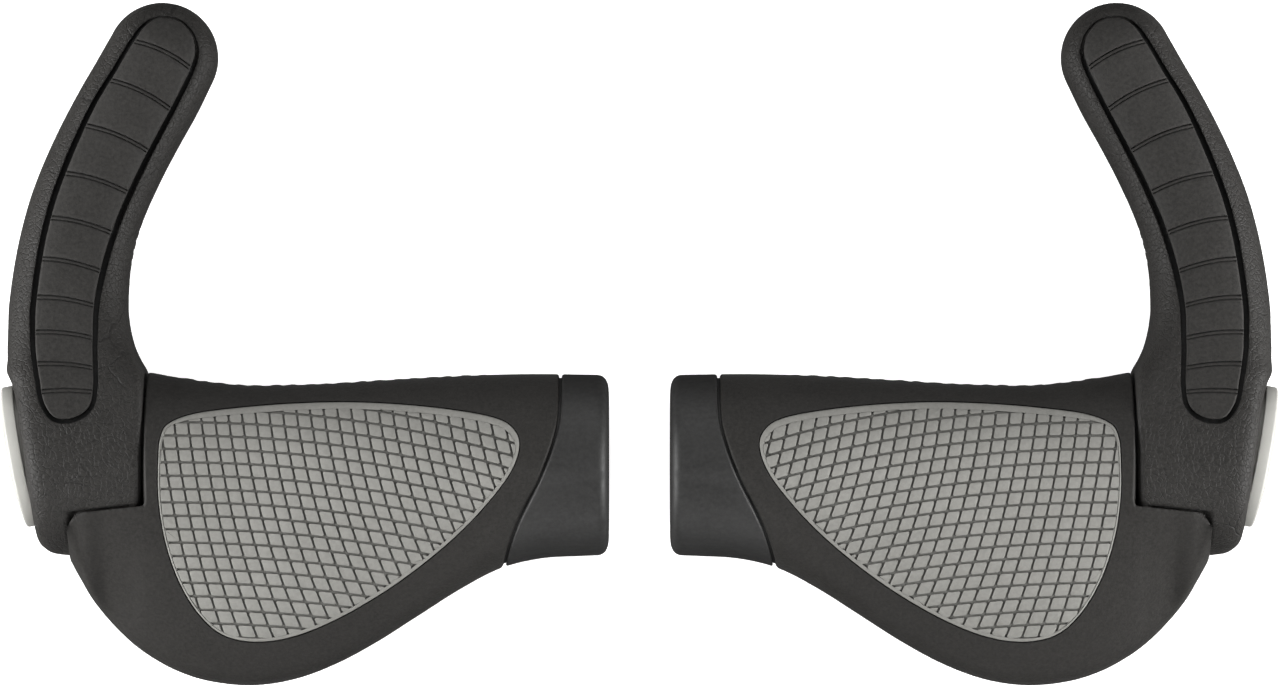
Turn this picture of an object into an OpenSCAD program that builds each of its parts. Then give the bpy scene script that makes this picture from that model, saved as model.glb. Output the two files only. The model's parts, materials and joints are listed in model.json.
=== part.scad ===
// Pair of winged handlebar grips with curved bar ends.
// +X is outboard on the right-hand grip, +Y is forwards, +Z is up.
// The pair lies on the plane Z = 0, and X = 0 is the mirror plane between the two grips.

/* [Handlebar fit] */
// Bore of the grip core, for a 22.2 mm handlebar
bore_d = 22.3; // [22.24:0.02:22.4]
// Wall thickness of the core sleeve
sleeve_wall = 1.75; // [1.6:0.05:1.75]
// Distance from the mirror plane to the inboard end of each grip
inboard_x = 5.8; // [5.8:0.1:6.2]
// Outboard end of the core's slotted tail
tail_end_x = 110.3; // [108:0.1:110.4]

/* [Clamp] */
// Radial clearance between the core tail and the clamp ring
clamp_clear = 0.05; // [0.03:0.01:0.08]
// Radial wall of the forged clamp ring
ring_wall = 1.75; // [1.5:0.05:1.8]
// Width of the clamp ring's slit
slit = 2.4; // [1.6:0.1:3]
// Distance of the clamp bolt in front of the handlebar axis
bolt_y = 19.6; // [19.2:0.1:20]
// Shank length of the M5 clamp bolt
bolt_len = 16; // [15:0.5:16]

/* [Skins and gaps] */
// Thickness of the soft skin on the horn
skin = 1.0; // [0.9:0.05:1.1]
// Gap left between bonded pieces
bond = 0.1; // [0.08:0.01:0.14]
// Depth of the textured pad below the grip surface
pad_depth = 1.5; // [1.2:0.1:1.8]
// Depth of the thumb pad's recess in the horn
thumb_depth = 1.3; // [1.1:0.1:1.4]

/* [Hidden] */
$fn = 72;

bar_y = -23.06;             // handlebar axis, from the middle of the footprint
bar_z = 17.7;               // handlebar axis, above the table
bore_r = bore_d / 2;
sleeve_r = bore_r + sleeve_wall;
ring_r = sleeve_r + clamp_clear;
ring_out = ring_r + ring_wall;
bolt_x = 103.5;
face_x = 93.0;              // outboard end face of the grip cover
house_r = 17.2;             // outside of the housing, behind the axis
pocket_r = 17.5;            // inside of the wing's lip, round the housing
neck_r = 16.5; neck_x = 93.35;   // neck that closes the gap between the cover and the housing
// Plan of the notch in front of the wing's lip
NOTCH = [[face_x, 60], [face_x, -7.4], [105.6, -8.8], [106.5, -9.2], [107.1, -9.9], [107.5, -11.2], [125, -11.2], [125, 60]];
ear_lo = -7; ear_hi = 8;    // underside and top of the clamp ears
cap_x = 117.35; cap_y = 1.7; cap_tilt = 10.5;

// ---- interpolation -------------------------------------------------------
function seg(T, x, i = 0) = (i >= len(T) - 2 || x < T[i + 1][0]) ? i : seg(T, x, i + 1);
function slope(T, i, c) = i == 0 ? (T[1][c] - T[0][c]) / (T[1][0] - T[0][0])
    : i == len(T) - 1 ? (T[i][c] - T[i - 1][c]) / (T[i][0] - T[i - 1][0])
    : (T[i + 1][c] - T[i - 1][c]) / (T[i + 1][0] - T[i - 1][0]);
function herm(y0, z0, m0, y1, z1, m1, t) = let (h = y1 - y0)
    (2*t*t*t - 3*t*t + 1) * z0 + (t*t*t - 2*t*t + t) * h * m0 + (3*t*t - 2*t*t*t) * z1 + (t*t*t - t*t) * h * m1;
function spl(T, x, c) = let (i = seg(T, x), t = max(0, min(1, (x - T[i][0]) / (T[i + 1][0] - T[i][0]))))
    herm(T[i][0], T[i][c], slope(T, i, c), T[i + 1][0], T[i + 1][c], slope(T, i + 1, c), t);

// ---- grip body -----------------------------------------------------------
// [x, front radius, rear edge y, tail centre z, tail radius, top slope, underside slope, ring join]
GT = [
    [  5.8, 17.1, -17.1,  0.0, 16.5,  8,  -8,  3],
    [ 11.0, 17.2, -17.3,  0.0, 16.4,  9,  -8,  3],
    [ 19.0, 17.3, -17.8, -0.1, 16.0, 12,  -9,  4],
    [ 26.5, 17.2, -19.7, -0.6, 14.0, 20,  -8,  8],
    [ 34.0, 16.9, -23.6, -1.8, 11.4, 27,  -4, 13],
    [ 42.0, 16.5, -28.7, -3.2,  9.4, 32,   1, 18],
    [ 50.0, 16.0, -33.8, -4.1,  8.2, 35,   5, 24],
    [ 58.0, 15.5, -38.1, -4.7,  7.6, 36,   8, 28],
    [ 66.0, 15.2, -41.0, -5.0,  7.3, 37,  10, 30],
    [ 74.0, 15.1, -42.1, -5.2,  7.2, 37,  10, 32],
    [ 82.0, 15.8, -41.3, -5.2,  7.2, 37,  10, 34],
    [ 88.0, 16.7, -39.4, -5.2,  7.2, 37,  10, 38],
    [ 93.0, 17.6, -36.7, -5.0,  7.2, 37,   9, 43],
    [ 97.0, 18.1, -33.7, -4.8,  7.2, 36,   8, 45],
    [101.0, 18.3, -29.6, -4.0,  8.0, 38,   5, 45],
    [104.0, 18.45, -25.5, -1.5, 10.5, 38,  0, 44],
    [106.0, 18.45, -22.0, -1.2, 14.5, 34, -6, 24],
    [107.2, 18.4, -19.8, -1.0, 17.0, 30, -10, 14],
    [107.8, 18.3, -18.5, -0.3, 17.8, 25, -10,  8]
];
NA = 12; NB = 6; NC = 8; ND = 6; NG = NA + NB + NC + ND;

// One cross-section, as [y, z] points, for grip distance x, shrunk by e
function gsec(x, e = 0) = let (
    R = spl(GT, x, 1) - e, yr = spl(GT, x, 2) + e, zt = spl(GT, x, 3), rt = spl(GT, x, 4) - e,
    be = spl(GT, x, 5), ga = spl(GT, x, 6), de = spl(GT, x, 7), yc = yr + rt,
    ye = yc - rt * sin(be), ze = zt + rt * cos(be), yb = yc + rt * sin(ga), zb = zt - rt * cos(ga),
    yd = -R * sin(de), zd = -R * cos(de)) concat(
        [for (i = [0 : NA - 1]) let (t = -(90 + de) + i * (180 + de) / NA) [R * cos(t), R * sin(t)]],
        [for (i = [0 : NB - 1]) let (t = i / NB) [ye * t, herm(0, R, 0, ye, ze, tan(be), t)]],
        [for (i = [0 : NC - 1]) let (t = 90 + be + i * (180 - be + ga) / NC) [yc + rt * cos(t), zt + rt * sin(t)]],
        [for (i = [0 : ND - 1]) let (t = i / ND) [yb + (yd - yb) * t, herm(yb, zb, tan(ga), yd, zd, -tan(de), t)]]);

// Height of the grip's top surface over the point (x, y)
function gtop(x, y) = let (
    R = spl(GT, x, 1), rt = spl(GT, x, 4), zt = spl(GT, x, 3), be = spl(GT, x, 5),
    yc = spl(GT, x, 2) + rt, ye = yc - rt * sin(be), ze = zt + rt * cos(be))
    y >= 0 ? sqrt(max(0.01, R * R - y * y))
    : y >= ye ? herm(0, R, 0, ye, ze, tan(be), y / ye)
    : zt + sqrt(max(0.01, rt * rt - (y - yc) * (y - yc)));

// Closed loft through rings of n points. Ring centres close the two ends.
module loft(rings, c0, c1) {
    n = len(rings[0]); m = len(rings);
    polyhedron(points = concat([for (r = rings) for (p = r) p], [c0, c1]), faces = concat(
        [for (j = [0 : m - 2]) for (i = [0 : n - 1]) [j * n + i, (j + 1) * n + i, j * n + (i + 1) % n]],
        [for (j = [0 : m - 2]) for (i = [0 : n - 1]) [j * n + (i + 1) % n, (j + 1) * n + i, (j + 1) * n + (i + 1) % n]],
        [for (i = [0 : n - 1]) [i, (i + 1) % n, m * n]],
        [for (i = [0 : n - 1]) [(m - 1) * n + (i + 1) % n, (m - 1) * n + i, m * n + 1]]));
}
module grip_loft(xs, e = 0, es = []) {
    loft([for (k = [0 : len(xs) - 1]) let (x = xs[k], f = len(es) > k ? es[k] : e) [for (p = gsec(x, f)) [x, p[0], p[1]]]],
        [xs[0], -1, 0], [xs[len(xs) - 1], -5, 0]);
}

// Plan of the seam between the collar and the cover
SEAM = [[15.0, 30], [15.0, 16], [15.0, 12], [15.3, 8], [16.2, 4.5], [17.4, 1], [19.0, -2.8], [20.8, -6.4],
    [22.6, -10], [24.2, -14], [25.4, -18], [26.2, -22], [26.8, -30]];
module seam_side(shift) {
    translate([0, 0, -30]) linear_extrude(60)
        polygon(concat([for (p = SEAM) [p[0] + shift, p[1]]], [[130, -60], [130, 60], [15 + shift, 60]]));
}

// Plan of the stiff plate inside the wing
PLATE = [[30, -10], [30, -13], [44, -21], [54, -27], [64, -31], [74, -32.5], [83, -31.5], [89, -28], [90, -10]];
module wing_plate(g) {
    translate([0, 0, 0.5]) rotate([11, 0, 0]) translate([0, 0, -1.2 - g]) linear_extrude(2.4 + 2 * g)
        polygon([for (p = PLATE) [p[0] + (p[0] > 60 ? g : -g), p[1] - (p[1] < -12 ? g : 0)]]);
}

// Plan of the textured pad, clockwise from its outboard front corner
PADP = [[88.6, 8.0], [84, 9.8], [76, 10.9], [66, 11.7], [55, 12.0], [44, 11.5], [34, 10.4], [27, 9.0], [23.7, 7.0],
    [22.6, 3.8], [24.2, -1.0], [28.5, -6.8], [34, -12.6], [41, -18.6], [49, -24.3], [58, -29.4], [66, -32.5], [73, -33.4],
    [79, -32.0], [83.5, -27.8], [87, -21.5], [89.3, -14], [90.4, -6], [90.4, 2], [90.0, 5.6]];
PAD_C = [62, -8];
function padp(k, g) = let (n = len(PADP), i = floor(k), t = k - i, a = PADP[(i + n - 1) % n], b = PADP[i % n], c = PADP[(i + 1) % n],
    d = PADP[(i + 2) % n], p = 0.5 * (2 * b + (c - a) * t + (2 * a - 5 * b + 4 * c - d) * t * t + (3 * b - a - 3 * c + d) * t * t * t),
    v = p - PAD_C) PAD_C + v * (1 + g / norm(v));
module pad_block(g, lo, hi) {
    n = 2 * len(PADP); rs = [0.25, 0.5, 0.75, 1]; m = len(rs);
    top = [for (q = rs) for (i = [0 : n - 1]) let (p = PAD_C + q * (padp(i / 2, g) - PAD_C)) [p[0], p[1], gtop(p[0], p[1]) + hi]];
    bot = [for (q = rs) for (i = [0 : n - 1]) let (p = PAD_C + q * (padp(i / 2, g) - PAD_C)) [p[0], p[1], gtop(p[0], p[1]) - lo]];
    N = n * m; z = gtop(PAD_C[0], PAD_C[1]);
    polyhedron(points = concat(top, bot, [[PAD_C[0], PAD_C[1], z + hi], [PAD_C[0], PAD_C[1], z - lo]]), faces = concat(
        [for (j = [0 : m - 2]) for (i = [0 : n - 1]) [j * n + i, j * n + (i + 1) % n, (j + 1) * n + i]],
        [for (j = [0 : m - 2]) for (i = [0 : n - 1]) [j * n + (i + 1) % n, (j + 1) * n + (i + 1) % n, (j + 1) * n + i]],
        [for (i = [0 : n - 1]) [2 * N, (i + 1) % n, i]],
        [for (j = [0 : m - 2]) for (i = [0 : n - 1]) [N + j * n + i, N + (j + 1) * n + i, N + j * n + (i + 1) % n]],
        [for (j = [0 : m - 2]) for (i = [0 : n - 1]) [N + j * n + (i + 1) % n, N + (j + 1) * n + i, N + (j + 1) * n + (i + 1) % n]],
        [for (i = [0 : n - 1]) [2 * N + 1, N + i, N + (i + 1) % n]],
        [for (i = [0 : n - 1]) let (a = (m - 1) * n + i, b = (m - 1) * n + (i + 1) % n) [a, b, N + a]],
        [for (i = [0 : n - 1]) let (a = (m - 1) * n + i, b = (m - 1) * n + (i + 1) % n) [b, N + b, N + a]]));
}

module xcyl(r, x0, x1) { translate([x0, 0, 0]) rotate([0, 90, 0]) cylinder(r = r, h = x1 - x0); }

module grip_core() color([0.10, 0.10, 0.10]) difference() {
    union() {
        difference() {
            grip_loft([inboard_x, inboard_x + 0.15, inboard_x + 0.45, inboard_x + 1, inboard_x + 2.4, 11, 15, 19, 23, 27], 0, [3.9, 2.4, 1.3, 0.5, 0, 0, 0, 0, 0, 0]);
            seam_side(-0.25);
        }
        xcyl(sleeve_r, 14, tail_end_x);
        wing_plate(0);
    }
    xcyl(bore_r, 0, 130);
    for (a = [45 : 90 : 315]) rotate([a, 0, 0]) translate([96, -0.75, 0]) cube([30, 1.5, 30]);
}

module grip_cover() color([0.06, 0.06, 0.06]) difference() {
    union() {
        difference() {
            resize([0, 0, 0]) difference() {
                grip_loft([13, 17, 21, 25, 29, 34, 39, 44, 50, 56, 62, 68, 74, 80, 85, 89, 93, 96.5, 100, 102.8, 105, 106.4, 107.2, 107.8]);
                pad_block(bond, pad_depth + bond, 3);
            }
            translate([-1, -60, -30]) difference() {
                cube([60, 120, 60]);
                translate([1, 60, 30]) seam_side(0.25);
            }
            xcyl(pocket_r, face_x, 120);
            translate([0, 0, -30]) linear_extrude(60) polygon(NOTCH);
        }
        xcyl(neck_r, face_x - 1, neck_x);
    }
    xcyl(sleeve_r + bond, 0, 100);
    wing_plate(bond);
}

module grip_pad() color([0.45, 0.45, 0.43]) pad_block(0, pad_depth, 0.25);

// ---- clamp ---------------------------------------------------------------
// The clamp's two ears in plan, rounded about the bolt
module ear_plan(g, lo, hi) {
    translate([0, 0, lo]) linear_extrude(hi - lo) {
        translate([bolt_x, bolt_y]) circle(r = 5.3 + g);
        translate([bolt_x - 5.3 - g, 6]) square([10.6 + 2 * g, bolt_y - 6]);
    }
}
module clamp_ring() color([0.72, 0.73, 0.75]) difference() {
    union() {
        xcyl(ring_out, 96.5, 110.3);
        ear_plan(0, ear_lo, ear_hi);
    }
    xcyl(ring_r, 90, 120);
    translate([90, 5, -slit / 2]) cube([30, 30, slit]);
    translate([bolt_x, bolt_y, ear_lo - 1]) cylinder(r = 2.75, h = 8);
    translate([bolt_x, bolt_y, 0]) cylinder(r = 2.55, h = 20);
}
module clamp_bolt() color([0.30, 0.30, 0.31]) translate([bolt_x, bolt_y, ear_lo - 1]) difference() {
    union() {
        cylinder(r = 2.5, h = bolt_len);
        translate([0, 0, -4.6]) cylinder(r = 4.25, h = 4.6);
        translate([0, 0, -5]) cylinder(r1 = 3.85, r2 = 4.25, h = 0.4);
    }
    translate([0, 0, -6]) cylinder(r = 4 / sqrt(3), h = 3.6, $fn = 6);
}
module bolt_washer() color([0.62, 0.63, 0.65]) translate([bolt_x, bolt_y, ear_lo - 0.98]) difference() {
    cylinder(r = 4.9, h = 0.96);
    translate([0, 0, -1]) cylinder(r = 2.65, h = 3);
}

// ---- horn ----------------------------------------------------------------
// [s, x, y, z, heading, half width, half height, squareness inboard, squareness outboard]
HT = [
    [-17.15, 103.3, -17.15, 0, 0,  5.3,  1.3,  8, 4],
    [-16.80, 103.85, -16.80, 0, 0, 7.05, 3.7, 10, 5],
    [-16.00, 104.2, -16.00, 0, 0,  8.2,  6.3, 12, 6],
    [-14.60, 104.4, -14.60, 0, 0,  9.2,  9.1, 12, 7],
    [-12.00, 104.15, -12.00, 0, 0, 10.1, 12.3, 12, 8],
    [ -8.00, 104.3,  -8.00, 0, 0, 10.5, 15.2, 12, 8],
    [ -4.00, 104.6,  -4.00, 0, 0, 10.8, 16.7, 12, 8],
    [  0.00, 104.85,  0.00, 0, 0, 11.1, 17.2, 12, 8],
    [  4.00, 105.15,  4.00, 0, 0, 11.4, 16.9, 12, 8],
    [  8.00, 105.45,  8.00, 0, 0, 11.65, 16.2, 12, 7.5],
    [ 12.00, 105.8,  12.00, -0.1, 0, 11.95, 15.1, 12, 6.5],
    [ 15.50, 106.35, 15.50, -0.3, 0, 12.45, 14.1, 11, 5.2],
    [ 17.70, 106.95, 17.70, -0.6, 0, 12.9, 13.5,  9, 4.4],
    [ 20.00, 107.5,  20.00, -0.9, 0, 12.35, 12.9, 6.6, 3.8],
    [ 22.20, 108.0,  22.20, -1.2, 0, 11.95, 12.4, 5, 3.4],
    [ 24.50, 108.3,  24.50, -1.5, 0, 11.65, 11.9, 4.1, 3.1],
    [ 26.80, 108.5,  26.80, -1.8, 0, 11.45, 11.5, 3.5, 2.9],
    [ 29.80, 108.6,  29.80, -2.3, 1, 11.3, 11.1, 3.1, 2.7],
    [ 35.90, 108.1,  35.90, -3.2, 7, 11.05, 10.5, 2.7, 2.5],
    [ 42.10, 107.1,  42.00, -4.1, 13, 10.9, 10.2, 2.5, 2.4],
    [ 48.50, 105.5,  48.10, -5.0, 18.3, 10.85, 10.0, 2.4, 2.4],
    [ 54.90, 103.2,  54.10, -5.7, 22.9, 10.85, 9.9, 2.4, 2.4],
    [ 61.60, 100.4,  60.20, -6.4, 26.6, 10.85, 9.8, 2.4, 2.4],
    [ 68.50,  97.2,  66.30, -7.0, 28.8, 10.85, 9.75, 2.4, 2.4],
    [ 75.00,  94.0,  72.00, -7.6, 28.4, 10.8, 9.7, 2.4, 2.4],
    [ 81.10,  91.1,  77.60, -8.1, 26, 10.6, 9.6, 2.4, 2.4]
];
S_TIP = 81.1; R_TIP = 10.6; NH = 24;
function spow(v, p) = v < 0 ? -pow(-v, p) : pow(v, p);
// Half height: a true circle behind the handlebar axis, the table in front of it
function hb(s, e) = s <= 0 ? sqrt(max(0.6, (house_r - e) * (house_r - e) - s * s)) : spl(HT, s, 6) - e;
// Frame of a section: [x, y, z, heading, a, b, inboard n, outboard n]
function hfr(s, e) = s <= S_TIP
    ? [spl(HT, s, 1), spl(HT, s, 2), spl(HT, s, 3), spl(HT, s, 4), spl(HT, s, 5) - e, hb(s, e), spl(HT, s, 7), spl(HT, s, 8)]
    : let (r = R_TIP - e, d = min(s - S_TIP, r * 0.9995), k = sqrt(1 - (d / r) * (d / r)), h = HT[len(HT) - 1])
        [h[1] - d * sin(h[4]), h[2] + d * cos(h[4]), h[3] - 0.06 * d, h[4], (h[5] - e) * k, (h[6] - e) * k, h[7], h[8]];
function hpt(f, w, z) = [f[0] - w * cos(f[3]), f[1] - w * sin(f[3]), f[2] + z];
// Point on the horn at station s and section angle t (0 inboard, 90 top)
function hp(s, t, e) = let (f = hfr(s, e), n = cos(t) < 0 ? f[7] : f[6]) hpt(f, f[4] * spow(cos(t), 2 / n), f[5] * spow(sin(t), 2 / n));
// Point on the horn's top at station s and offset w towards the inboard side
function htop(s, w, e) = let (f = hfr(s, 0), n = w < 0 ? f[7] : f[6], q = min(0.999, abs(w) / max(0.5, f[4]))) hpt(f, w, f[5] * pow(1 - pow(q, n), 1 / n) - e);
HS = [-15.2, -12, -8, -4, 0, 4, 8, 12, 15.5, 17.7, 20, 22.2, 24.5, 28, 33, 39, 45, 51.5, 58, 65, 73, 81.1];
TIP = [15, 32, 48, 63, 76, 85];
module horn_loft(e) {
    bot = [for (k = (e > 0.5 ? [-15.9] : [-17.1, -16.7])) k];
    ss = concat(bot, HS, [for (q = TIP) S_TIP + (R_TIP - e) * sin(q)]);
    f1 = hfr(S_TIP + R_TIP - e, e);
    loft([for (s = ss) [for (i = [0 : NH - 1]) hp(s, i * 360 / NH, e)]], hpt(hfr(ss[0], e), 0, 0), hpt(f1, 0, 0));
}

// [s, offset w, half width] of the thumb pad and its groove
TP = [[8.0, -2.8, 0.6], [8.4, -2.7, 2.2], [9.1, -2.4, 3.4], [10.3, -2.1, 4.5], [12, -1.95, 5.35], [14.4, -1.75, 5.8], [19, -1.0, 6.2],
    [25, -0.3, 6.45], [33.6, 0.1, 6.6], [41.3, 0.35, 6.85], [49.5, 0.45, 7.1], [58.5, 0.35, 7.3], [67.5, 0.15, 7.4], [75, 0.15, 7.1],
    [81.1, 0.2, 6.8], [84.6, 0.2, 6.2], [86.8, 0, 4.9], [88.1, -0.1, 3.4], [88.9, -0.1, 1.5], [89.1, -0.1, 0.6]];
TPS = [for (p = TP) p[0]];
module thumb_strip(g, lo, hi) {
    m = len(TPS); n = 7;
    function gs(s) = s + g * (s < 11 ? 1 : s > 86 ? -1 : 0);
    P = [for (e = [lo, -hi]) for (s = TPS) for (i = [0 : n - 1]) let (w0 = spl(TP, s, 1), hw = max(0.3, spl(TP, s, 2) - g))
        htop(gs(s), w0 + hw * (2 * i / (n - 1) - 1), e)];
    N = m * n;
    polyhedron(points = P, faces = concat(
        [for (j = [0 : m - 2]) for (i = [0 : n - 2]) [j * n + i, (j + 1) * n + i, j * n + i + 1]],
        [for (j = [0 : m - 2]) for (i = [0 : n - 2]) [j * n + i + 1, (j + 1) * n + i, (j + 1) * n + i + 1]],
        [for (j = [0 : m - 2]) for (i = [0 : n - 2]) [N + j * n + i, N + j * n + i + 1, N + (j + 1) * n + i]],
        [for (j = [0 : m - 2]) for (i = [0 : n - 2]) [N + j * n + i + 1, N + (j + 1) * n + i + 1, N + (j + 1) * n + i]],
        [for (j = [0 : m - 2]) for (q = [[0, 0], [n - 1, 1]]) let (a = j * n + q[0], b = a + n) q[1] == 0 ? [a, N + a, b] : [a, b, N + a]],
        [for (j = [0 : m - 2]) for (q = [[0, 0], [n - 1, 1]]) let (a = j * n + q[0], b = a + n) q[1] == 0 ? [b, N + a, N + b] : [b, N + b, N + a]],
        [for (i = [0 : n - 2]) [i, i + 1, N + i]], [for (i = [0 : n - 2]) [i + 1, N + i + 1, N + i]],
        [for (i = [0 : n - 2]) let (a = (m - 1) * n + i) [a, N + a, a + 1]],
        [for (i = [0 : n - 2]) let (a = (m - 1) * n + i) [a + 1, N + a, N + a + 1]]));
}

// [s, first angle, last angle] of the finger pad, on the underside and the inboard side of the horn
FP = [[30, 246, 296], [32, 222, 330], [35, 208, 352], [39, 202, 366], [45, 200, 371], [51, 200, 366], [58, 202, 356], [66, 204, 348],
    [74, 210, 338], [78, 220, 326], [80.5, 244, 300]];
module finger_strip(g, lo, hi) {
    ss = [30, 32, 35, 39, 45, 51, 58, 66, 74, 78, 80.5]; m = len(ss); n = 12;
    function gs(s) = s + g * (s < 33 ? 1 : s > 77 ? -1 : 0);
    P = [for (e = [lo, -hi]) for (s = ss) for (i = [0 : n - 1]) let (a = spl(FP, s, 1) + g * 5, b = spl(FP, s, 2) - g * 5)
        hp(gs(s), a + (b - a) * i / (n - 1), e)];
    N = m * n;
    polyhedron(points = P, faces = concat(
        [for (j = [0 : m - 2]) for (i = [0 : n - 2]) [j * n + i, j * n + i + 1, (j + 1) * n + i]],
        [for (j = [0 : m - 2]) for (i = [0 : n - 2]) [j * n + i + 1, (j + 1) * n + i + 1, (j + 1) * n + i]],
        [for (j = [0 : m - 2]) for (i = [0 : n - 2]) [N + j * n + i, N + (j + 1) * n + i, N + j * n + i + 1]],
        [for (j = [0 : m - 2]) for (i = [0 : n - 2]) [N + j * n + i + 1, N + (j + 1) * n + i, N + (j + 1) * n + i + 1]],
        [for (j = [0 : m - 2]) for (q = [[0, 1], [n - 1, 0]]) let (a = j * n + q[0], b = a + n) q[1] == 0 ? [a, N + a, b] : [a, b, N + a]],
        [for (j = [0 : m - 2]) for (q = [[0, 1], [n - 1, 0]]) let (a = j * n + q[0], b = a + n) q[1] == 0 ? [b, N + a, N + b] : [b, N + b, N + a]],
        [for (i = [0 : n - 2]) [i, N + i, i + 1]], [for (i = [0 : n - 2]) [i + 1, N + i, N + i + 1]],
        [for (i = [0 : n - 2]) let (a = (m - 1) * n + i) [a, a + 1, N + a]],
        [for (i = [0 : n - 2]) let (a = (m - 1) * n + i) [a + 1, N + a + 1, N + a]]));
}

module on_cap() { translate([cap_x, cap_y, 0]) rotate([0, 0, -cap_tilt]) rotate([0, 90, 0]) children(); }

module horn_core() color([0.12, 0.12, 0.12]) difference() {
    resize([0, 0, 0]) difference() { horn_loft(skin + bond); thumb_strip(-bond, thumb_depth + 2 * bond, 3); }
    xcyl(ring_out + bond, 90, 110.5);
    xcyl(12, 90, 125);
    ear_plan(0.1, ear_lo - 0.1, ear_hi + 0.1);
    translate([bolt_x, bolt_y, -30]) cylinder(r = 5.2, h = 24);
    translate([bolt_x, bolt_y, 0]) cylinder(r = 3, h = ear_hi + 1.5);
    on_cap() translate([0, 0, -3.2]) cylinder(r = 13.2, h = 8);
    translate([0, 0, -30]) linear_extrude(25.5) polygon([[117, 33], [116, 43], [112.2, 52], [107.4, 61], [103, 69], [99.5, 72.5], [92, 69],
        [95.4, 62.5], [98, 55], [99.6, 46], [100, 36], [100.6, 33]]);
}
module horn_cover() color([0.08, 0.08, 0.08]) difference() {
    resize([0, 0, 0]) difference() {
        horn_loft(0);
        horn_loft(skin);
        thumb_strip(0, thumb_depth + 0.7, 3);
        finger_strip(0, skin + 0.6, 1.5);
    }
    xcyl(ring_out + 0.3, 90, 100);
    translate([bolt_x, bolt_y, -30]) cylinder(r = 5.2, h = 24);
    on_cap() translate([0, 0, -4]) cylinder(r = 13.6, h = 8);
}
module thumb_pad() color([0.10, 0.10, 0.10]) thumb_strip(1.1, thumb_depth - bond, 0.1);
module finger_pad() color([0.10, 0.10, 0.10]) finger_strip(0.3, skin - 0.28, -0.05);

module end_cap() color([0.72, 0.72, 0.69]) on_cap() rotate_extrude()
    polygon([[0, -0.9], [11.7, -0.9], [11.7, -2.8], [12.9, -2.8], [12.9, -1], [13.5, -1], [13.5, 0.9], [13.2, 1.35], [12.6, 1.6],
        [9.6, 1.9], [9.3, 1.8], [9.3, 0.3], [0, 0.3]]);
module cap_badge() color([0.66, 0.66, 0.64]) on_cap() rotate_extrude()
    polygon([[0, 0.4], [9.15, 0.4], [9.15, 1.7], [8.8, 1.95], [6.5, 2.25], [3.5, 2.42], [0, 2.5]]);

module piece(p) {
    if (p == "grip_core") grip_core();
    if (p == "grip_cover") grip_cover();
    if (p == "grip_pad") grip_pad();
    if (p == "clamp_ring") clamp_ring();
    if (p == "clamp_bolt") clamp_bolt();
    if (p == "bolt_washer") bolt_washer();
    if (p == "horn_core") horn_core();
    if (p == "horn_cover") horn_cover();
    if (p == "thumb_pad") thumb_pad();
    if (p == "finger_pad") finger_pad();
    if (p == "end_cap") end_cap();
    if (p == "cap_badge") cap_badge();
}
module right(p) { translate([0, bar_y, bar_z]) piece(p); }
module left(p) { translate([0, bar_y, bar_z]) mirror([1, 0, 0]) piece(p); }

left("grip_core");  // left_grip_core
left("grip_cover");  // left_grip_cover
left("grip_pad");  // left_grip_pad
left("clamp_ring");  // left_clamp_ring
left("clamp_bolt");  // left_clamp_bolt
left("bolt_washer");  // left_bolt_washer
left("horn_core");  // left_horn_core
left("horn_cover");  // left_horn_cover
left("thumb_pad");  // left_thumb_pad
left("finger_pad");  // left_finger_pad
left("end_cap");  // left_end_cap
left("cap_badge");  // left_cap_badge
right("grip_core");  // right_grip_core
right("grip_cover");  // right_grip_cover
right("grip_pad");  // right_grip_pad
right("clamp_ring");  // right_clamp_ring
right("clamp_bolt");  // right_clamp_bolt
right("bolt_washer");  // right_bolt_washer
right("horn_core");  // right_horn_core
right("horn_cover");  // right_horn_cover
right("thumb_pad");  // right_thumb_pad
right("finger_pad");  // right_finger_pad
right("end_cap");  // right_end_cap
right("cap_badge");  // right_cap_badge
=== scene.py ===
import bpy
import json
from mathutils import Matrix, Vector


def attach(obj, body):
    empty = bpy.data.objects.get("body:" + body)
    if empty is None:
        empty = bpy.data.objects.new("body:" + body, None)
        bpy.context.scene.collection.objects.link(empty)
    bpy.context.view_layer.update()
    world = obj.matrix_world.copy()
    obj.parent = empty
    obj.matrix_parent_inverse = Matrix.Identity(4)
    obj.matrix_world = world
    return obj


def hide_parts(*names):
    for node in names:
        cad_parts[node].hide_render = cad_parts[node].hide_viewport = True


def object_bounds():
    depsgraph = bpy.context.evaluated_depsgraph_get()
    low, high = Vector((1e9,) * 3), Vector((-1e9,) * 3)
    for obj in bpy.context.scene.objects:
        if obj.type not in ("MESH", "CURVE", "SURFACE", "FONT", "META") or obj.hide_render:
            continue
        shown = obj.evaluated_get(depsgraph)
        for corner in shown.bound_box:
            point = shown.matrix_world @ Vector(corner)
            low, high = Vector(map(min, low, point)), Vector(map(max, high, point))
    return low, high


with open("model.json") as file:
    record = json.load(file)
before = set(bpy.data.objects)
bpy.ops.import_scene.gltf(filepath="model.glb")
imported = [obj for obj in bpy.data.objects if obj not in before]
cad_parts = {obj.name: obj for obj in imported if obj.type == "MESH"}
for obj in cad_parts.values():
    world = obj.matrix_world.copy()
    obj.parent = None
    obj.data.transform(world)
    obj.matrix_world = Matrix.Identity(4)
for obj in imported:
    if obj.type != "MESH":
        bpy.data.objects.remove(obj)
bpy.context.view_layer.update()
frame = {"nodes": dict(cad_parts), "record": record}

import json, math
import bpy, bmesh
import numpy as np

# ---------------------------------------------------------------------------
# Frame. Shapes are worked out in millimetres round the handlebar axis, for the
# right-hand grip; the left-hand one is their mirror image.
# ---------------------------------------------------------------------------
MOUNT = {m["name"]: m for m in frame["record"]["mounts"]}
BAR = np.array([0.0, MOUNT["right_handlebar"]["pos_m"][1], MOUNT["right_handlebar"]["pos_m"][2]])
BORE_R = MOUNT["right_handlebar"]["dims"]["r_mm"]
SIDES = (("right", 1.0), ("left", -1.0))
D2R = math.pi / 180.0


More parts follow.
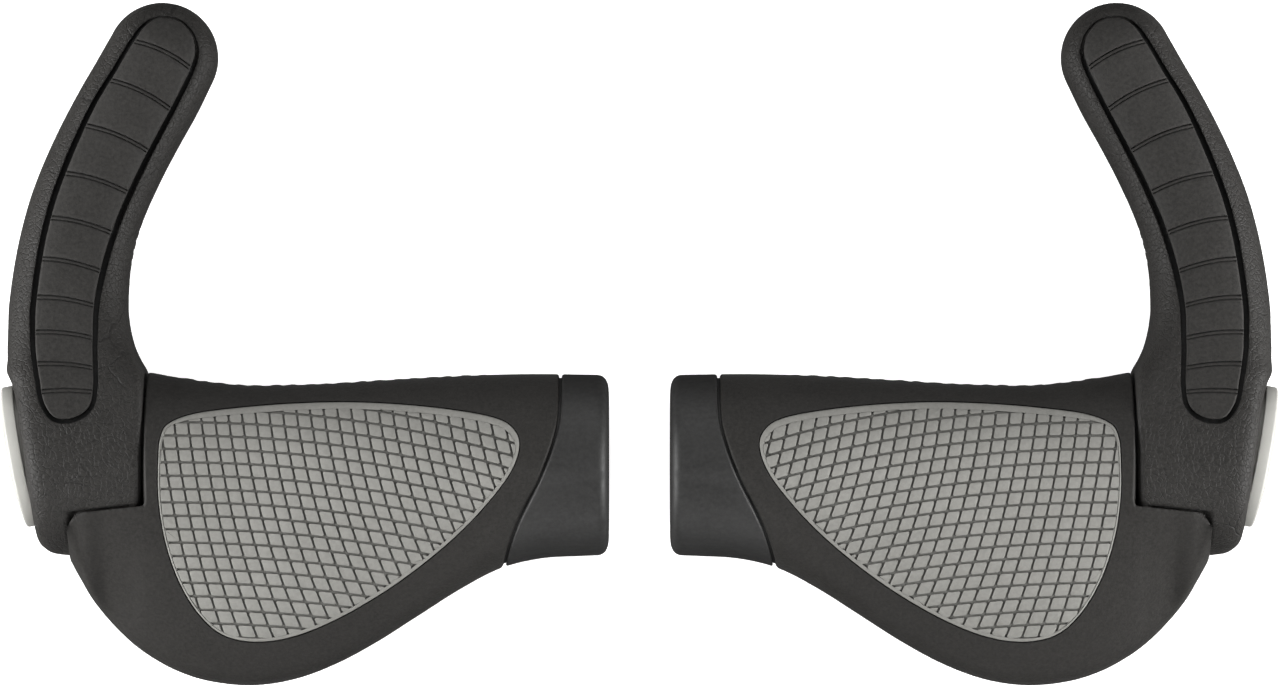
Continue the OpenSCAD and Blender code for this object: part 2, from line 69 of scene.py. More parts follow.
def slopes(xs, v):
    m = np.empty(len(xs))
    m[0] = (v[1] - v[0]) / (xs[1] - xs[0])
    m[-1] = (v[-1] - v[-2]) / (xs[-1] - xs[-2])
    m[1:-1] = (v[2:] - v[:-2]) / (xs[2:] - xs[:-2])
    return m


def spl(T, x, c):
    """Smooth curve through column c of table T, whose first column is x."""
    xs, v = T[:, 0], T[:, c]
    m = slopes(xs, v)
    x = np.asarray(x, float)
    i = np.clip(np.searchsorted(xs, x, side="right") - 1, 0, len(xs) - 2)
    h = xs[i + 1] - xs[i]
    t = np.clip((x - xs[i]) / h, 0, 1)
    return ((2 * t**3 - 3 * t**2 + 1) * v[i] + (t**3 - 2 * t**2 + t) * h * m[i]
            + (3 * t**2 - 2 * t**3) * v[i + 1] + (t**3 - t**2) * h * m[i + 1])


def herm(y0, z0, m0, y1, z1, m1, t):
    h = y1 - y0
    return ((2 * t**3 - 3 * t**2 + 1) * z0 + (t**3 - 2 * t**2 + t) * h * m0
            + (3 * t**2 - 2 * t**3) * z1 + (t**3 - t**2) * h * m1)


def smooth(a, b, x):
    t = np.clip((x - a) / (b - a), 0, 1)
    return t * t * (3 - 2 * t)


# ---------------------------------------------------------------------------
# Meshes
# ---------------------------------------------------------------------------
def new_object(name, verts, faces, sign, smooth_angle=35, recalc=True):
    """verts in mm round the handlebar axis of the right grip; sign -1 mirrors them."""
    v = np.array(verts, float) * 0.001
    v[:, 0] *= sign
    v = v + BAR
    me = bpy.data.meshes.new(name)
    me.from_pydata([tuple(p) for p in v], [], [tuple(int(i) for i in f) for f in faces])
    bm = bmesh.new(); bm.from_mesh(me)
    if recalc:
        bmesh.ops.recalc_face_normals(bm, faces=bm.faces)
    bm.to_mesh(me); bm.free()
    ob = bpy.data.objects.new(name, me)
    bpy.context.scene.collection.objects.link(ob)
    shade(ob, smooth_angle)
    return ob


def shade(ob, angle):
    me = ob.data
    me.polygons.foreach_set("use_smooth", [angle > 0] * len(me.polygons))
    if angle > 0:
        bm = bmesh.new(); bm.from_mesh(me)
        lim = angle * D2R
        for e in bm.edges:
            e.smooth = not (len(e.link_faces) == 2 and e.calc_face_angle(0.0) > lim)
        bm.to_mesh(me); bm.free()


def loft(rings, c0, c1):
    """Closed loft through rings (m, n, 3), with a fan to a centre at each end."""
    m, n = rings.shape[:2]
    V = np.vstack([rings.reshape(-1, 3), [c0], [c1]])
    F = []
    for j in range(m - 1):
        a = j * n
        for i in range(n):
            k = (i + 1) % n
            F.append((a + i, a + n + i, a + n + k, a + k))
    for i in range(n):
        k = (i + 1) % n
        F.append((i, k, m * n))
        F.append(((m - 1) * n + k, (m - 1) * n + i, m * n + 1))
    return V, F


def prism(poly, z0, z1):
    p = np.array(poly, float); n = len(p)
    V = np.vstack([np.c_[p, np.full(n, z0)], np.c_[p, np.full(n, z1)]])
    F = [tuple(range(n))[::-1], tuple(range(n, 2 * n))]
    F += [(i, (i + 1) % n, n + (i + 1) % n, n + i) for i in range(n)]
    return V, F


def xcyl(r, x0, x1, n=160):
    t = np.arange(n) * 2 * math.pi / n
    a = np.c_[np.full(n, x0), r * np.cos(t), r * np.sin(t)]
    b = a.copy(); b[:, 0] = x1
    return loft(np.array([a, b]), [x0, 0, 0], [x1, 0, 0])


def zcyl(x, y, r, z0, z1, n=96):
    t = np.arange(n) * 2 * math.pi / n
    a = np.c_[x + r * np.cos(t), y + r * np.sin(t), np.full(n, z0)]
    b = a.copy(); b[:, 2] = z1
    return loft(np.array([a, b]), [x, y, z0], [x, y, z1])


def cut(ob, parts, sign, op="DIFFERENCE"):
    """Cuts closed shapes (verts, faces) out of ob, one at a time."""
    for k, (V, F) in enumerate(parts):
        tool = new_object("tool", V, F, sign)
        before = len(ob.data.vertices)
        for solver in ("MANIFOLD", "EXACT"):
            mod = ob.modifiers.new("cut", "BOOLEAN")
            mod.operation = op; mod.object = tool; mod.solver = solver
            dg = bpy.context.evaluated_depsgraph_get()
            me = bpy.data.meshes.new_from_object(ob.evaluated_get(dg))
            ob.modifiers.remove(mod)
            if len(me.vertices) != before and len(me.vertices) > 8:
                break
            print("cut", ob.name, k, solver, "left the mesh as it was")
        old = ob.data; ob.data = me; bpy.data.meshes.remove(old)
        me.name = ob.name
        tm = tool.data; bpy.data.objects.remove(tool); bpy.data.meshes.remove(tm)


def tidy(ob, dist=0.00001):
    bm = bmesh.new(); bm.from_mesh(ob.data)
    bmesh.ops.remove_doubles(bm, verts=bm.verts, dist=dist)
    bmesh.ops.dissolve_degenerate(bm, dist=dist, edges=bm.edges)
    bm.to_mesh(ob.data); bm.free()


# ---------------------------------------------------------------------------
# Grip body
# ---------------------------------------------------------------------------
GT = np.array([
    [5.8, 17.1, -17.1, 0, 16.5, 8, -8, 3], [11, 17.2, -17.3, 0, 16.4, 9, -8, 3], [19, 17.3, -17.8, -0.1, 16, 12, -9, 4],
    [26.5, 17.2, -19.7, -0.6, 14, 20, -8, 8], [34, 16.9, -23.6, -1.8, 11.4, 27, -4, 13], [42, 16.5, -28.7, -3.2, 9.4, 32, 1, 18],
    [50, 16, -33.8, -4.1, 8.2, 35, 5, 24], [58, 15.5, -38.1, -4.7, 7.6, 36, 8, 28], [66, 15.2, -41, -5, 7.3, 37, 10, 30],
    [74, 15.1, -42.1, -5.2, 7.2, 37, 10, 32], [82, 15.8, -41.3, -5.2, 7.2, 37, 10, 34], [88, 16.7, -39.4, -5.2, 7.2, 37, 10, 38],
    [93, 17.6, -36.7, -5, 7.2, 37, 9, 43], [97, 18.1, -33.7, -4.8, 7.2, 36, 8, 45], [101, 18.3, -29.6, -4, 8, 38, 5, 45],
    [104, 18.45, -25.5, -1.5, 10.5, 38, 0, 44], [106, 18.45, -22, -1.2, 14.5, 34, -6, 24], [107.2, 18.4, -19.8, -1, 17, 30, -10, 14],
    [107.8, 18.3, -18.5, -0.3, 17.8, 25, -10, 8]])
N4 = (112, 56, 36, 36)          # points round the front, top, rear edge and underside
NG = sum(N4)
SEAM = np.array([[-40, 27.1], [-30, 26.8], [-22, 26.2], [-18, 25.4], [-14, 24.2], [-10, 22.6], [-6.4, 20.8], [-2.8, 19.0], [1, 17.4],
                 [4.5, 16.2], [8, 15.3], [12, 15.0], [16, 15.0], [30, 15.0]])


def seam(y):
    return spl(SEAM, y, 1)


def grip_ring(X, E):
    """(K, NG) arrays of y and z on the grip's skin at distances X, shrunk by E."""
    R = spl(GT, X, 1) - E; yr = spl(GT, X, 2) + E; zt = spl(GT, X, 3); rt = spl(GT, X, 4) - E
    be = spl(GT, X, 5) * D2R; ga = spl(GT, X, 6) * D2R; de = spl(GT, X, 7) * D2R
    yc = yr + rt
    ye = yc - rt * np.sin(be); ze = zt + rt * np.cos(be)
    yb = yc + rt * np.sin(ga); zb = zt - rt * np.cos(ga)
    yd = -R * np.sin(de); zd = -R * np.cos(de)
    na, nb, nc, nd = N4
    y = np.empty_like(X); z = np.empty_like(X)
    s = slice(0, na)
    t = -(math.pi / 2 + de[:, s]) + np.arange(na) * (math.pi + de[:, s]) / na
    y[:, s] = R[:, s] * np.cos(t); z[:, s] = R[:, s] * np.sin(t)
    s = slice(na, na + nb); t = np.arange(nb) / nb
    y[:, s] = ye[:, s] * t; z[:, s] = herm(0, R[:, s], 0, ye[:, s], ze[:, s], np.tan(be[:, s]), t)
    s = slice(na + nb, na + nb + nc)
    t = math.pi / 2 + be[:, s] + np.arange(nc) * (math.pi / 2 - be[:, s] + math.pi / 2 * 0 + ga[:, s] + math.pi / 2) / nc
    y[:, s] = yc[:, s] + rt[:, s] * np.cos(t); z[:, s] = zt[:, s] + rt[:, s] * np.sin(t)
    s = slice(na + nb + nc, NG); t = np.arange(nd) / nd
    y[:, s] = yb[:, s] + (yd[:, s] - yb[:, s]) * t
    z[:, s] = herm(yb[:, s], zb[:, s], np.tan(ga[:, s]), yd[:, s], zd[:, s], -np.tan(de[:, s]), t)
    return y, z


def gtop(x, y):
    """Height of the grip's top over (x, y)."""
    x = np.asarray(x, float); y = np.asarray(y, float)
    R = spl(GT, x, 1); rt = spl(GT, x, 4); zt = spl(GT, x, 3); be = spl(GT, x, 5) * D2R
    yc = spl(GT, x, 2) + rt; ye = yc - rt * np.sin(be); ze = zt + rt * np.cos(be)
    a = np.sqrt(np.maximum(0.01, R * R - y * y))
    b = herm(0, R, 0, ye, ze, np.tan(be), np.clip(y / ye, 0, 1))
    c = zt + np.sqrt(np.maximum(0.01, rt * rt - (y - yc) ** 2))
    return np.where(y >= 0, a, np.where(y >= ye, b, c))


def warped(xk, ek, x_seam, fade_len, gap, inward):
    """Rings at distances xk that follow the seam where they are near it."""
    xk = np.asarray(xk, float); K = len(xk)
    f = 1 - smooth(0, fade_len, np.abs(xk - x_seam))
    E = np.repeat(np.asarray(ek, float)[:, None], NG, 1)
    X = np.repeat(xk[:, None], NG, 1)
    for _ in range(12):
        y, z = grip_ring(X, E)
        X = xk[:, None] + (seam(y) - 15.0) * f[:, None]
    y, z = grip_ring(X, E)
    rings = np.stack([X, y, z], -1)
    # end face, following the seam inwards
    end = rings[0] if inward < 0 else rings[-1]
    inner = []
    for q in (0.985, 0.95, 0.88, 0.76, 0.55, 0.3):
        r = end.copy()
        r[:, 1] = -1 + (end[:, 1] + 1) * q; r[:, 2] = end[:, 2] * q
        r[:, 0] = seam(r[:, 1]) + gap
        inner.append(r)
    inner = np.array(inner)
    return np.concatenate([inner[::-1], rings]) if inward < 0 else np.concatenate([rings, inner])


# pad outline
PADP = np.array([[88.6, 8.0], [84, 9.8], [76, 10.9], [66, 11.7], [55, 12.0], [44, 11.5], [34, 10.4], [27, 9.0], [23.7, 7.0],
                 [22.6, 3.8], [24.2, -1.0], [28.5, -6.8], [34, -12.6], [41, -18.6], [49, -24.3], [58, -29.4], [66, -32.5], [73, -33.4],
                 [79, -32.0], [83.5, -27.8], [87, -21.5], [89.3, -14], [90.4, -6], [90.4, 2], [90.0, 5.6]])
PAD_C = np.array([62.0, -8.0])


def pad_outline(g, per=12):
    n = len(PADP); out = []
    for i in range(n):
        a, b, c, d = PADP[i - 1], PADP[i], PADP[(i + 1) % n], PADP[(i + 2) % n]
        for t in np.arange(per) / per:
            out.append(0.5 * (2 * b + (c - a) * t + (2 * a - 5 * b + 4 * c - d) * t * t + (3 * b - a - 3 * c + d) * t**3))
    out = np.array(out)
    # true offset along the outline's own normal
    tan = np.roll(out, -1, 0) - np.roll(out, 1, 0)
    nrm = np.c_[tan[:, 1], -tan[:, 0]]; nrm /= np.linalg.norm(nrm, axis=1)[:, None]
    s = np.sign(((out - PAD_C) * nrm).sum(1).mean())
    return out + nrm * s * (g if np.isscalar(g) else g[:, None])


def rim_width(per=12):
    """Width of the pad's smooth rim, wider along the front."""
    o = pad_outline(0, per)
    return 0.47 + 0.18 * (1 - smooth(70, 86, o[:, 0])) + 0.6 * smooth(2.0, 8.5, o[:, 1]) * (1 - smooth(82, 89, o[:, 0]) * 0.8)


def pad_solid(g, lo, hi, rows=10):
    o = pad_outline(g); n = len(o)
    V, F = [], []
    for h in (hi, -lo):
        for q in (np.arange(rows) + 1) / rows:
            p = PAD_C + (o - PAD_C) * q
            V.append(np.c_[p, gtop(p[:, 0], p[:, 1]) + h])
    z = float(gtop(*PAD_C))
    V = np.vstack(V + [[[PAD_C[0], PAD_C[1], z + hi], [PAD_C[0], PAD_C[1], z - lo]]])
    N = rows * n
    for b, c in ((0, 2 * N), (N, 2 * N + 1)):
        for j in range(rows - 1):
            F += [(b + j * n + i, b + j * n + (i + 1) % n, b + (j + 1) * n + (i + 1) % n, b + (j + 1) * n + i) for i in range(n)]
        F += [(c, b + (i + 1) % n, b + i) for i in range(n)]
    a = (rows - 1) * n
    F += [(a + i, a + (i + 1) % n, N + a + (i + 1) % n, N + a + i) for i in range(n)]
    return V, F


# plan of the notch in front of the wing's lip
FACE_X = 93.05
NOTCH = [(93.35, 60), (93.35, 15), (93.0, -6.3), (93.1, -6.95), (93.35, -7.3), (93.8, -7.5), (105.5, -8.75), (106.2, -9.0), (106.7, -9.4),
         (107.1, -9.95), (107.35, -10.55), (107.5, -11.2), (125, -11.2), (125, 60)]


def notch_dist(x, y):
    """Distance from plan points to the notch's outline."""
    d = np.full(np.shape(x), 1e9)
    for (x0, y0), (x1, y1) in zip(NOTCH[:-2], NOTCH[1:-1]):
        vx, vy = x1 - x0, y1 - y0
        t = np.clip(((x - x0) * vx + (y - y0) * vy) / (vx * vx + vy * vy), 0, 1)
        d = np.minimum(d, np.hypot(x - x0 - t * vx, y - y0 - t * vy))
    return d



def grip_cover(side, sign):
    r = 0.55
    th = np.linspace(0, math.pi / 2, 6)
    xs = list(15.25 + r * (1 - np.cos(th))); es = list(r * (1 - np.sin(th)))
    more = list(np.arange(16.3, 91.3, 0.6)) + list(np.arange(91.5, 94.6, 0.12)) + list(np.arange(94.9, 106.3, 0.35))
    more += [106.5, 106.7, 106.9, 107.05, 107.2, 107.33, 107.45, 107.55, 107.63, 107.7, 107.75, 107.78, 107.8]
    xs += more; es += [0.0] * len(more)
    rings = warped(xs, es, 15.25, 34, 0.25, -1)
    # finger side: low raised lozenges round the front and underneath
    m = rings[6:]
    ang = np.arctan2(m[..., 2], m[..., 1])
    R = np.hypot(m[..., 1], m[..., 2])
    X = m[..., 0]; A = ang * 16.5
    front = smooth(-2.05, -1.9, ang) * (1 - smooth(0.02, 0.2, ang)) * smooth(27, 31, X) * (1 - smooth(86, 89, X))
    p = 2 * math.pi / 3.3
    wob = 0.55 * np.sin(X * 0.83 + 0.7) + 0.4 * np.sin(A * 1.1 + X * 0.31) + 0.25 * np.sin(X * 2.3 + A * 1.7)
    loz = np.clip((np.cos(X * p + wob) + np.cos(A * p - 0.7 * wob)) * 0.8 - 0.3, 0, 1)
    d = 0.15 * front * loz * (0.8 + 0.45 * np.sin(X * 0.37 + 1.3) * np.sin(A * 0.6 + 0.4))
    # the edges along the notch are rolled over
    r = 0.55
    nd = notch_dist(X, m[..., 1])
    d = d - np.where(nd < r, r - np.sqrt(np.maximum(0, r * r - (r - nd) ** 2)), 0) * 0.9
    m[..., 1] += d * np.cos(ang); m[..., 2] += d * np.sin(ang)
    V, F = loft(rings, [seam(-1.0) + 0.25, -1, 0], [107.8, -5, 0])
    ob = new_object(f"{side}_cover_skin", V, F, sign)
    cut(ob, [pad_solid(0.2, 1.6, 3.0), xcyl(13.0, 0, 100), xcyl(17.5, FACE_X, 120), prism(NOTCH, -30, 30)], sign)
    # neck that closes the gap to the housing
    n = 240; t = np.arange(n) * 2 * math.pi / n
    prof = [(13.0, 91.6), (16.5, 91.6), (16.5, 93.05), (16.42, 93.22), (16.25, 93.3), (13.0, 93.3)]
    V = np.vstack([np.c_[np.full(n, x), q * np.cos(t), q * np.sin(t)] for q, x in prof]); m = len(prof)
    F = [(j * n + i, j * n + (i + 1) % n, ((j + 1) % m) * n + (i + 1) % n, ((j + 1) % m) * n + i) for j in range(m) for i in range(n)]
    cut(ob, [(V, F)], sign, "UNION")
    tidy(ob)
    shade(ob, 38)
    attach(ob, f"{side}_grip"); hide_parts(f"{side}_grip_cover")
    return ob


def collar(side, sign):
    th = np.linspace(0, math.pi / 2, 12)
    xs = list(5.8 + 2.4 * (1 - np.cos(th)) ** 1.25); es = list(3.9 * (1 - np.sin(th)) ** 1.15)
    more = list(np.arange(8.8, 14.2, 0.6)); xs += more; es += [0.0] * len(more)
    r2 = 0.5; th2 = np.linspace(math.pi / 2, 0, 6)
    xs += list(14.75 - r2 * (1 - np.cos(th2))); es += list(r2 * (1 - np.sin(th2)))
    xs += [14.75, 14.8, 15.0, 15.24]; es += [0.65, 0.7, 0.7, 0.7]      # neck under the cover's edge
    xs = np.array(xs); es = np.array(es)
    # warp grows towards the seam
    K = len(xs); f = smooth(8.2, 14.25, xs)
    E = np.repeat(es[:, None], NG, 1); X = np.repeat(xs[:, None], NG, 1)
    for _ in range(12):
        y, z = grip_ring(X, E); X = xs[:, None] + (seam(y) - 15.0) * f[:, None]
    y, z = grip_ring(X, E)
    # the end face swells slightly
    rings = np.stack([X, y, z], -1)
    end = rings[-1]; inner = []
    for q in (0.985, 0.95, 0.88, 0.76, 0.55, 0.3):
        g = end.copy(); g[:, 1] = -1 + (end[:, 1] + 1) * q; g[:, 2] = end[:, 2] * q; g[:, 0] = seam(g[:, 1]) + 0.24
        inner.append(g)
    lead = []
    for q in (0.72, 0.86, 0.95):
        g = rings[0].copy(); g[:, 1] *= q; g[:, 2] *= q; lead.append(g)
    rings = np.concatenate([np.array(lead), rings, np.array(inner)])
    V, F = loft(rings, [5.8, 0, 0], [seam(-1.0) + 0.24, -1, 0])
    ob = new_object(f"{side}_collar_body", V, F, sign)
    cut(ob, [xcyl(13.0, 10, 60), xcyl(BORE_R, 0, 60)], sign)
    # chamfered mouth
    cut(ob, [loft(np.array([np.c_[np.full(160, x), q * np.cos(np.arange(160) * math.pi / 80), q * np.sin(np.arange(160) * math.pi / 80)]
                            for x, q in ((5.0, BORE_R + 1.4), (6.4, BORE_R))]), [5.0, 0, 0], [6.4, 0, 0])], sign)
    tidy(ob); shade(ob, 38)
    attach(ob, f"{side}_grip"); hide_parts(f"{side}_grip_core")
    # sleeve with its slotted tail
    n = 160; t = np.arange(n) * 2 * math.pi / n
    prof = [(10.05, BORE_R), (10.05, 12.9), (109.8, 12.9), (110.3, 12.4), (110.3, BORE_R + 0.3), (110.0, BORE_R)]
    V = np.vstack([np.c_[np.full(n, x), q * np.cos(t), q * np.sin(t)] for x, q in prof]); m = len(prof)
    F = [(j * n + i, j * n + (i + 1) % n, ((j + 1) % m) * n + (i + 1) % n, ((j + 1) % m) * n + i) for j in range(m) for i in range(n)]
    sl = new_object(f"{side}_core_sleeve", V, F, sign)
    tools = []
    for a in (45, 135, 225, 315):
        c, s = math.cos(a * D2R), math.sin(a * D2R)
        box = []
        for w in (-0.75, 0.75):
            for h in (5, 30):
                box.append((w * c - h * s, w * s + h * c))
        q = [box[0], box[1], box[3], box[2]]
        V2 = np.array([(x, a2, b2) for x in (96, 130) for a2, b2 in q])
        tools.append((V2, [(0, 1, 2, 3), (7, 6, 5, 4), (0, 4, 5, 1), (1, 5, 6, 2), (2, 6, 7, 3), (3, 7, 4, 0)]))
    cut(sl, tools, sign)
    tidy(sl); shade(sl, 38)
    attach(sl, f"{side}_grip")
    return ob, sl


# ---------------------------------------------------------------------------
# Textured pad
# ---------------------------------------------------------------------------
def cell_corners():
    """Crossings of the pad's curved grooves, in the plan of the right grip.

    They are laid out on the plane through the handlebar axis, and projected up
    to the crowned top from a point 1.5 m above it."""
    cols = {}
    for s in range(-4, 28):
        x0 = 88.255 - 2.622 * s
        col = {6.65: x0}
        for sgn in (1, -1):
            x, y = x0, 6.65
            while -38.2 < y < 17.9:
                a, b = 85.405 - x, 6.65 - y
                x += (0.13 + 0.005263 * b + 0.001579 * a + 1.2465e-4 * a * b) * 0.19 * sgn; y += 0.19 * sgn
                col[y] = x
        k = np.array(sorted(col)); cols[s] = (k, np.array([col[v] for v in k]))
    P = {}
    for s, (ky, kx) in cols.items():
        for k in range(-6, 20):
            y0 = 5.624 - 2.5422 * k
            y = y0
            for _ in range(60):
                x = np.interp(y, ky, kx)
                y = 0.5 * y + 0.5 * (y0 - 8.55 * max(0.0, (91.105 - x) / 65.55) ** 2.3)
            u, v = x, y
            for _ in range(3):
                f = 1 - float(gtop(u, v)) / 1500.0
                u = x * f
                v = (y + BAR[1] * 1000) * f - BAR[1] * 1000
            P[s, k] = np.array([u, v])
    return P


def clip(poly, a, b):
    """Keeps the part of poly on the left of the line a to b."""
    out = []
    d = b - a
    side = [(d[0] * (p[1] - a[1]) - d[1] * (p[0] - a[0])) for p in poly]
    for i in range(len(poly)):
        j = (i + 1) % len(poly)
        if side[i] >= 0:
            out.append(poly[i])
        if (side[i] >= 0) != (side[j] >= 0):
            t = side[i] / (side[i] - side[j])
            out.append(poly[i] + (poly[j] - poly[i]) * t)
    return out


def inset(poly, g):
    """Convex polygon, anticlockwise, moved inwards by g."""
    n = len(poly); out = list(poly)
    for i in range(n):
        a, b = poly[i], poly[(i + 1) % n]
        d = b - a; L = np.linalg.norm(d)
        if L < 1e-6:
            continue
        nrm = np.array([-d[1], d[0]]) / L
        out = clip(out, a + nrm * g, b + nrm * g)
        if len(out) < 3:
            return []
    return out


def rounded(poly, r, k=4):
    n = len(poly); out = []
    for i in range(n):
        p, a, b = poly[i], poly[i - 1], poly[(i + 1) % n]
        u = a - p; v = b - p; lu = np.linalg.norm(u); lv = np.linalg.norm(v)
        if lu < 1e-6 or lv < 1e-6:
            continue
        u /= lu; v /= lv
        c = float(np.clip(u @ v, -0.999999, 0.999999)); half = math.acos(c) / 2
        if half > 1.45:
            out.append(p); continue
        t = min(r / math.tan(half), lu * 0.45, lv * 0.45)
        q0, q1 = p + u * t, p + v * t
        for w in np.linspace(0, 1, k):
            out.append((1 - w) ** 2 * q0 + 2 * w * (1 - w) * p + w * w * q1)
    return out


def area(poly):
    p = np.array(poly); q = np.roll(p, -1, 0)
    return 0.5 * float((p[:, 0] * q[:, 1] - p[:, 1] * q[:, 0]).sum())


_rng = np.random.RandomState(7)


def textured_pad(side, sign):
    # body, up to the groove floor; its faces take the darker groove material, painted shade in the grooves
    V, F = pad_solid(-0.02, 1.45, -0.34, rows=22)
    V = [V]; F = [tuple(f) for f in F]; M = [1] * len(F); base = len(V[0])
    # smooth rim round the outside
    w = rim_width()
    prof = [(-0.02, 0, -0.8), (0.0, 0, -0.16), (-0.04, 0, -0.04), (-0.13, 0, 0.045), (-0.26, 0, 0.085), (-0.4, 0, 0.1),
            (0.16, -1, 0.1), (0.06, -1, 0.075), (0.0, -1, 0.0), (-0.03, -1, -0.5)]
    rings = []
    for g, c, h in prof:
        o = pad_outline(g + c * w); rings.append(np.c_[o, gtop(o[:, 0], o[:, 1]) + h])
    n = len(rings[0]); m = len(rings)
    V.append(np.vstack(rings))
    F += [(base + j * n + i, base + j * n + (i + 1) % n, base + ((j + 1) % m) * n + (i + 1) % n, base + ((j + 1) % m) * n + i) for j in range(m) for i in range(n)]
    M += [0] * (m * n)
    base += m * n
    # raised blocks
    lim = pad_outline(0.05 - rim_width(5), 5)
    if area(lim) < 0:
        lim = lim[::-1]
    P = cell_corners()
    count = 0
    for (s, k) in sorted(P):
        if not all(q in P for q in ((s + 1, k), (s, k + 1), (s + 1, k + 1))):
            continue
        quad = [P[s, k], P[s, k + 1], P[s + 1, k + 1], P[s + 1, k]]
        if area(quad) < 0:
            quad = quad[::-1]
        c = sum(quad) / 4
        if np.min(np.linalg.norm(lim - c, axis=1)) > 4 and not inside(c, lim):
            continue
        q = inset(quad, 0.205)
        if len(q) < 3:
            continue
        edge = np.linalg.norm(lim - c, axis=1) < 5
        for i in np.nonzero(edge)[0]:
            for j in (i - 1, i):
                if len(q) >= 3:
                    q = clip(q, lim[j], lim[(j + 1) % len(lim)])
        if len(q) < 3 or area(q) < 0.22:
            continue
        out = rounded(q, 0.4, 5)
        mid = shrink(out, 0.03); top = shrink(out, 0.1)
        if mid is None or top is None:
            continue
        dz = 0.012 * _rng.randn()
        layers = ((grow(out, 0.03), -0.46), (out, 0.07), (mid, 0.135), (top, 0.16))
        L = len(out)
        for poly, h in layers:
            p = np.array(poly); V.append(np.c_[p, gtop(p[:, 0], p[:, 1]) + h + dz])
        for j in range(3):
            F += [(base + j * L + i, base + j * L + (i + 1) % L, base + (j + 1) * L + (i + 1) % L, base + (j + 1) * L + i) for i in range(L)]
            # the lowest band of each block's side takes the darker groove material too, painted shade
            M += [1 if j == 0 else 0] * L
        F.append(tuple(base + 3 * L + i for i in range(L))); M.append(0)
        F.append(tuple(base + i for i in range(L))[::-1]); M.append(1)
        base += 4 * L
        count += 1
    ob = new_object(f"{side}_palm_pad", np.vstack(V), F, sign)
    ob.data.polygons.foreach_set("material_index", M)
    shade(ob, 50)
    print(side, "pad blocks", count)
    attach(ob, f"{side}_grip"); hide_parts(f"{side}_grip_pad")
    return ob


def inside(p, poly):
    q = np.roll(poly, -1, 0); d = q - poly
    return bool(((d[:, 0] * (p[1] - poly[:, 1]) - d[:, 1] * (p[0] - poly[:, 0])) > 0).all())


def shrink(poly, g):
    """Same point count, each point moved towards the inside by g."""
    p = np.array(poly); a = np.roll(p, 1, 0); b = np.roll(p, -1, 0)
    t = b - a; L = np.linalg.norm(t, axis=1)
    if (L < 1e-6).any():
        return None
    n = np.c_[-t[:, 1], t[:, 0]] / L[:, None]
    return p + n * g


def grow(poly, g):
    return shrink(poly, -g)


# ---------------------------------------------------------------------------
# Horn
# ---------------------------------------------------------------------------
HT = np.array([
    [-17.15, 103.3, -17.15, 0, 0, 5.3, 1.3, 8, 4], [-16.8, 103.85, -16.8, 0, 0, 7.05, 3.7, 10, 5], [-16, 104.2, -16, 0, 0, 8.2, 6.3, 12, 6],
    [-14.6, 104.5, -14.6, 0, 0, 9.1, 9.1, 16, 7], [-12, 104.27, -12, 0, 0, 9.98, 12.3, 22, 8], [-8, 104.4, -8, 0, 0, 10.4, 15.2, 26, 8],
    [-4, 104.62, -4, 0, 0, 10.78, 16.7, 26, 8], [0, 104.85, 0, 0, 0, 11.1, 17.2, 26, 8], [4, 105.08, 4, 0, 0, 11.42, 16.9, 26, 8],
    [8, 105.35, 8, 0, 0, 11.75, 16.2, 26, 7.5], [12, 105.68, 12, -0.1, 0, 12.08, 15.1, 24, 6.5], [15.5, 106.25, 15.5, -0.3, 0, 12.55, 14.1, 15, 5.2],
    [17.7, 106.9, 17.7, -0.6, 0, 12.95, 13.5, 9, 4.4], [20, 107.5, 20, -0.9, 0, 12.35, 12.9, 6.6, 3.8], [22.2, 108, 22.2, -1.2, 0, 11.95, 12.4, 5, 3.4],
    [24.5, 108.3, 24.5, -1.5, 0, 11.65, 11.9, 4.1, 3.1], [26.8, 108.5, 26.8, -1.8, 0, 11.45, 11.5, 3.5, 2.9], [29.8, 108.6, 29.8, -2.3, 1, 11.3, 11.1, 3.1, 2.7],
    [35.9, 108.1, 35.9, -3.2, 7, 11.05, 10.5, 2.7, 2.5], [42.1, 107.1, 42, -4.1, 13, 10.9, 10.2, 2.5, 2.4], [48.5, 105.5, 48.1, -5, 18.3, 10.85, 10, 2.4, 2.4],
    [54.9, 103.2, 54.1, -5.7, 22.9, 10.85, 9.9, 2.4, 2.4], [61.6, 100.4, 60.2, -6.4, 26.6, 10.85, 9.8, 2.4, 2.4], [68.5, 97.2, 66.3, -7, 28.8, 10.85, 9.75, 2.4, 2.4],
    [75, 94, 72, -7.6, 28.4, 10.8, 9.7, 2.4, 2.4], [81.1, 91.1, 77.6, -8.1, 26, 10.6, 9.6, 2.4, 2.4]])
S_TIP, R_TIP, HOUSE_R = 81.1, 10.6, 17.2


def hfr(s, e):
    s = float(s)
    if s <= S_TIP:
        b = math.sqrt(max(0.6, (HOUSE_R - e) ** 2 - s * s)) if s <= 0 else float(spl(HT, s, 6)) - e
        return [float(spl(HT, s, c)) for c in (1, 2, 3)] + [float(spl(HT, s, 4)) * D2R, float(spl(HT, s, 5)) - e, b,
                                                          float(spl(HT, s, 7)), float(spl(HT, s, 8))]
    r = R_TIP - e; d = min(s - S_TIP, r * 0.9995); k = math.sqrt(1 - (d / r) ** 2); h = HT[-1]; hd = h[4] * D2R
    return [h[1] - d * math.sin(hd), h[2] + d * math.cos(hd), h[3] - 0.06 * d, hd, (h[5] - e) * k, (h[6] - e) * k, h[7], h[8]]


def hpt(f, w, z):
    w = np.asarray(w, float); z = np.asarray(z, float)
    return np.stack([f[0] - w * math.cos(f[3]), f[1] - w * math.sin(f[3]), f[2] + z], -1)


def hring_wz(f, t):
    n = np.where(np.cos(t) < 0, f[7], f[6])
    w = f[4] * np.sign(np.cos(t)) * np.abs(np.cos(t)) ** (2 / n)
    z = f[5] * np.sign(np.sin(t)) * np.abs(np.sin(t)) ** (2 / n)
    return w, z


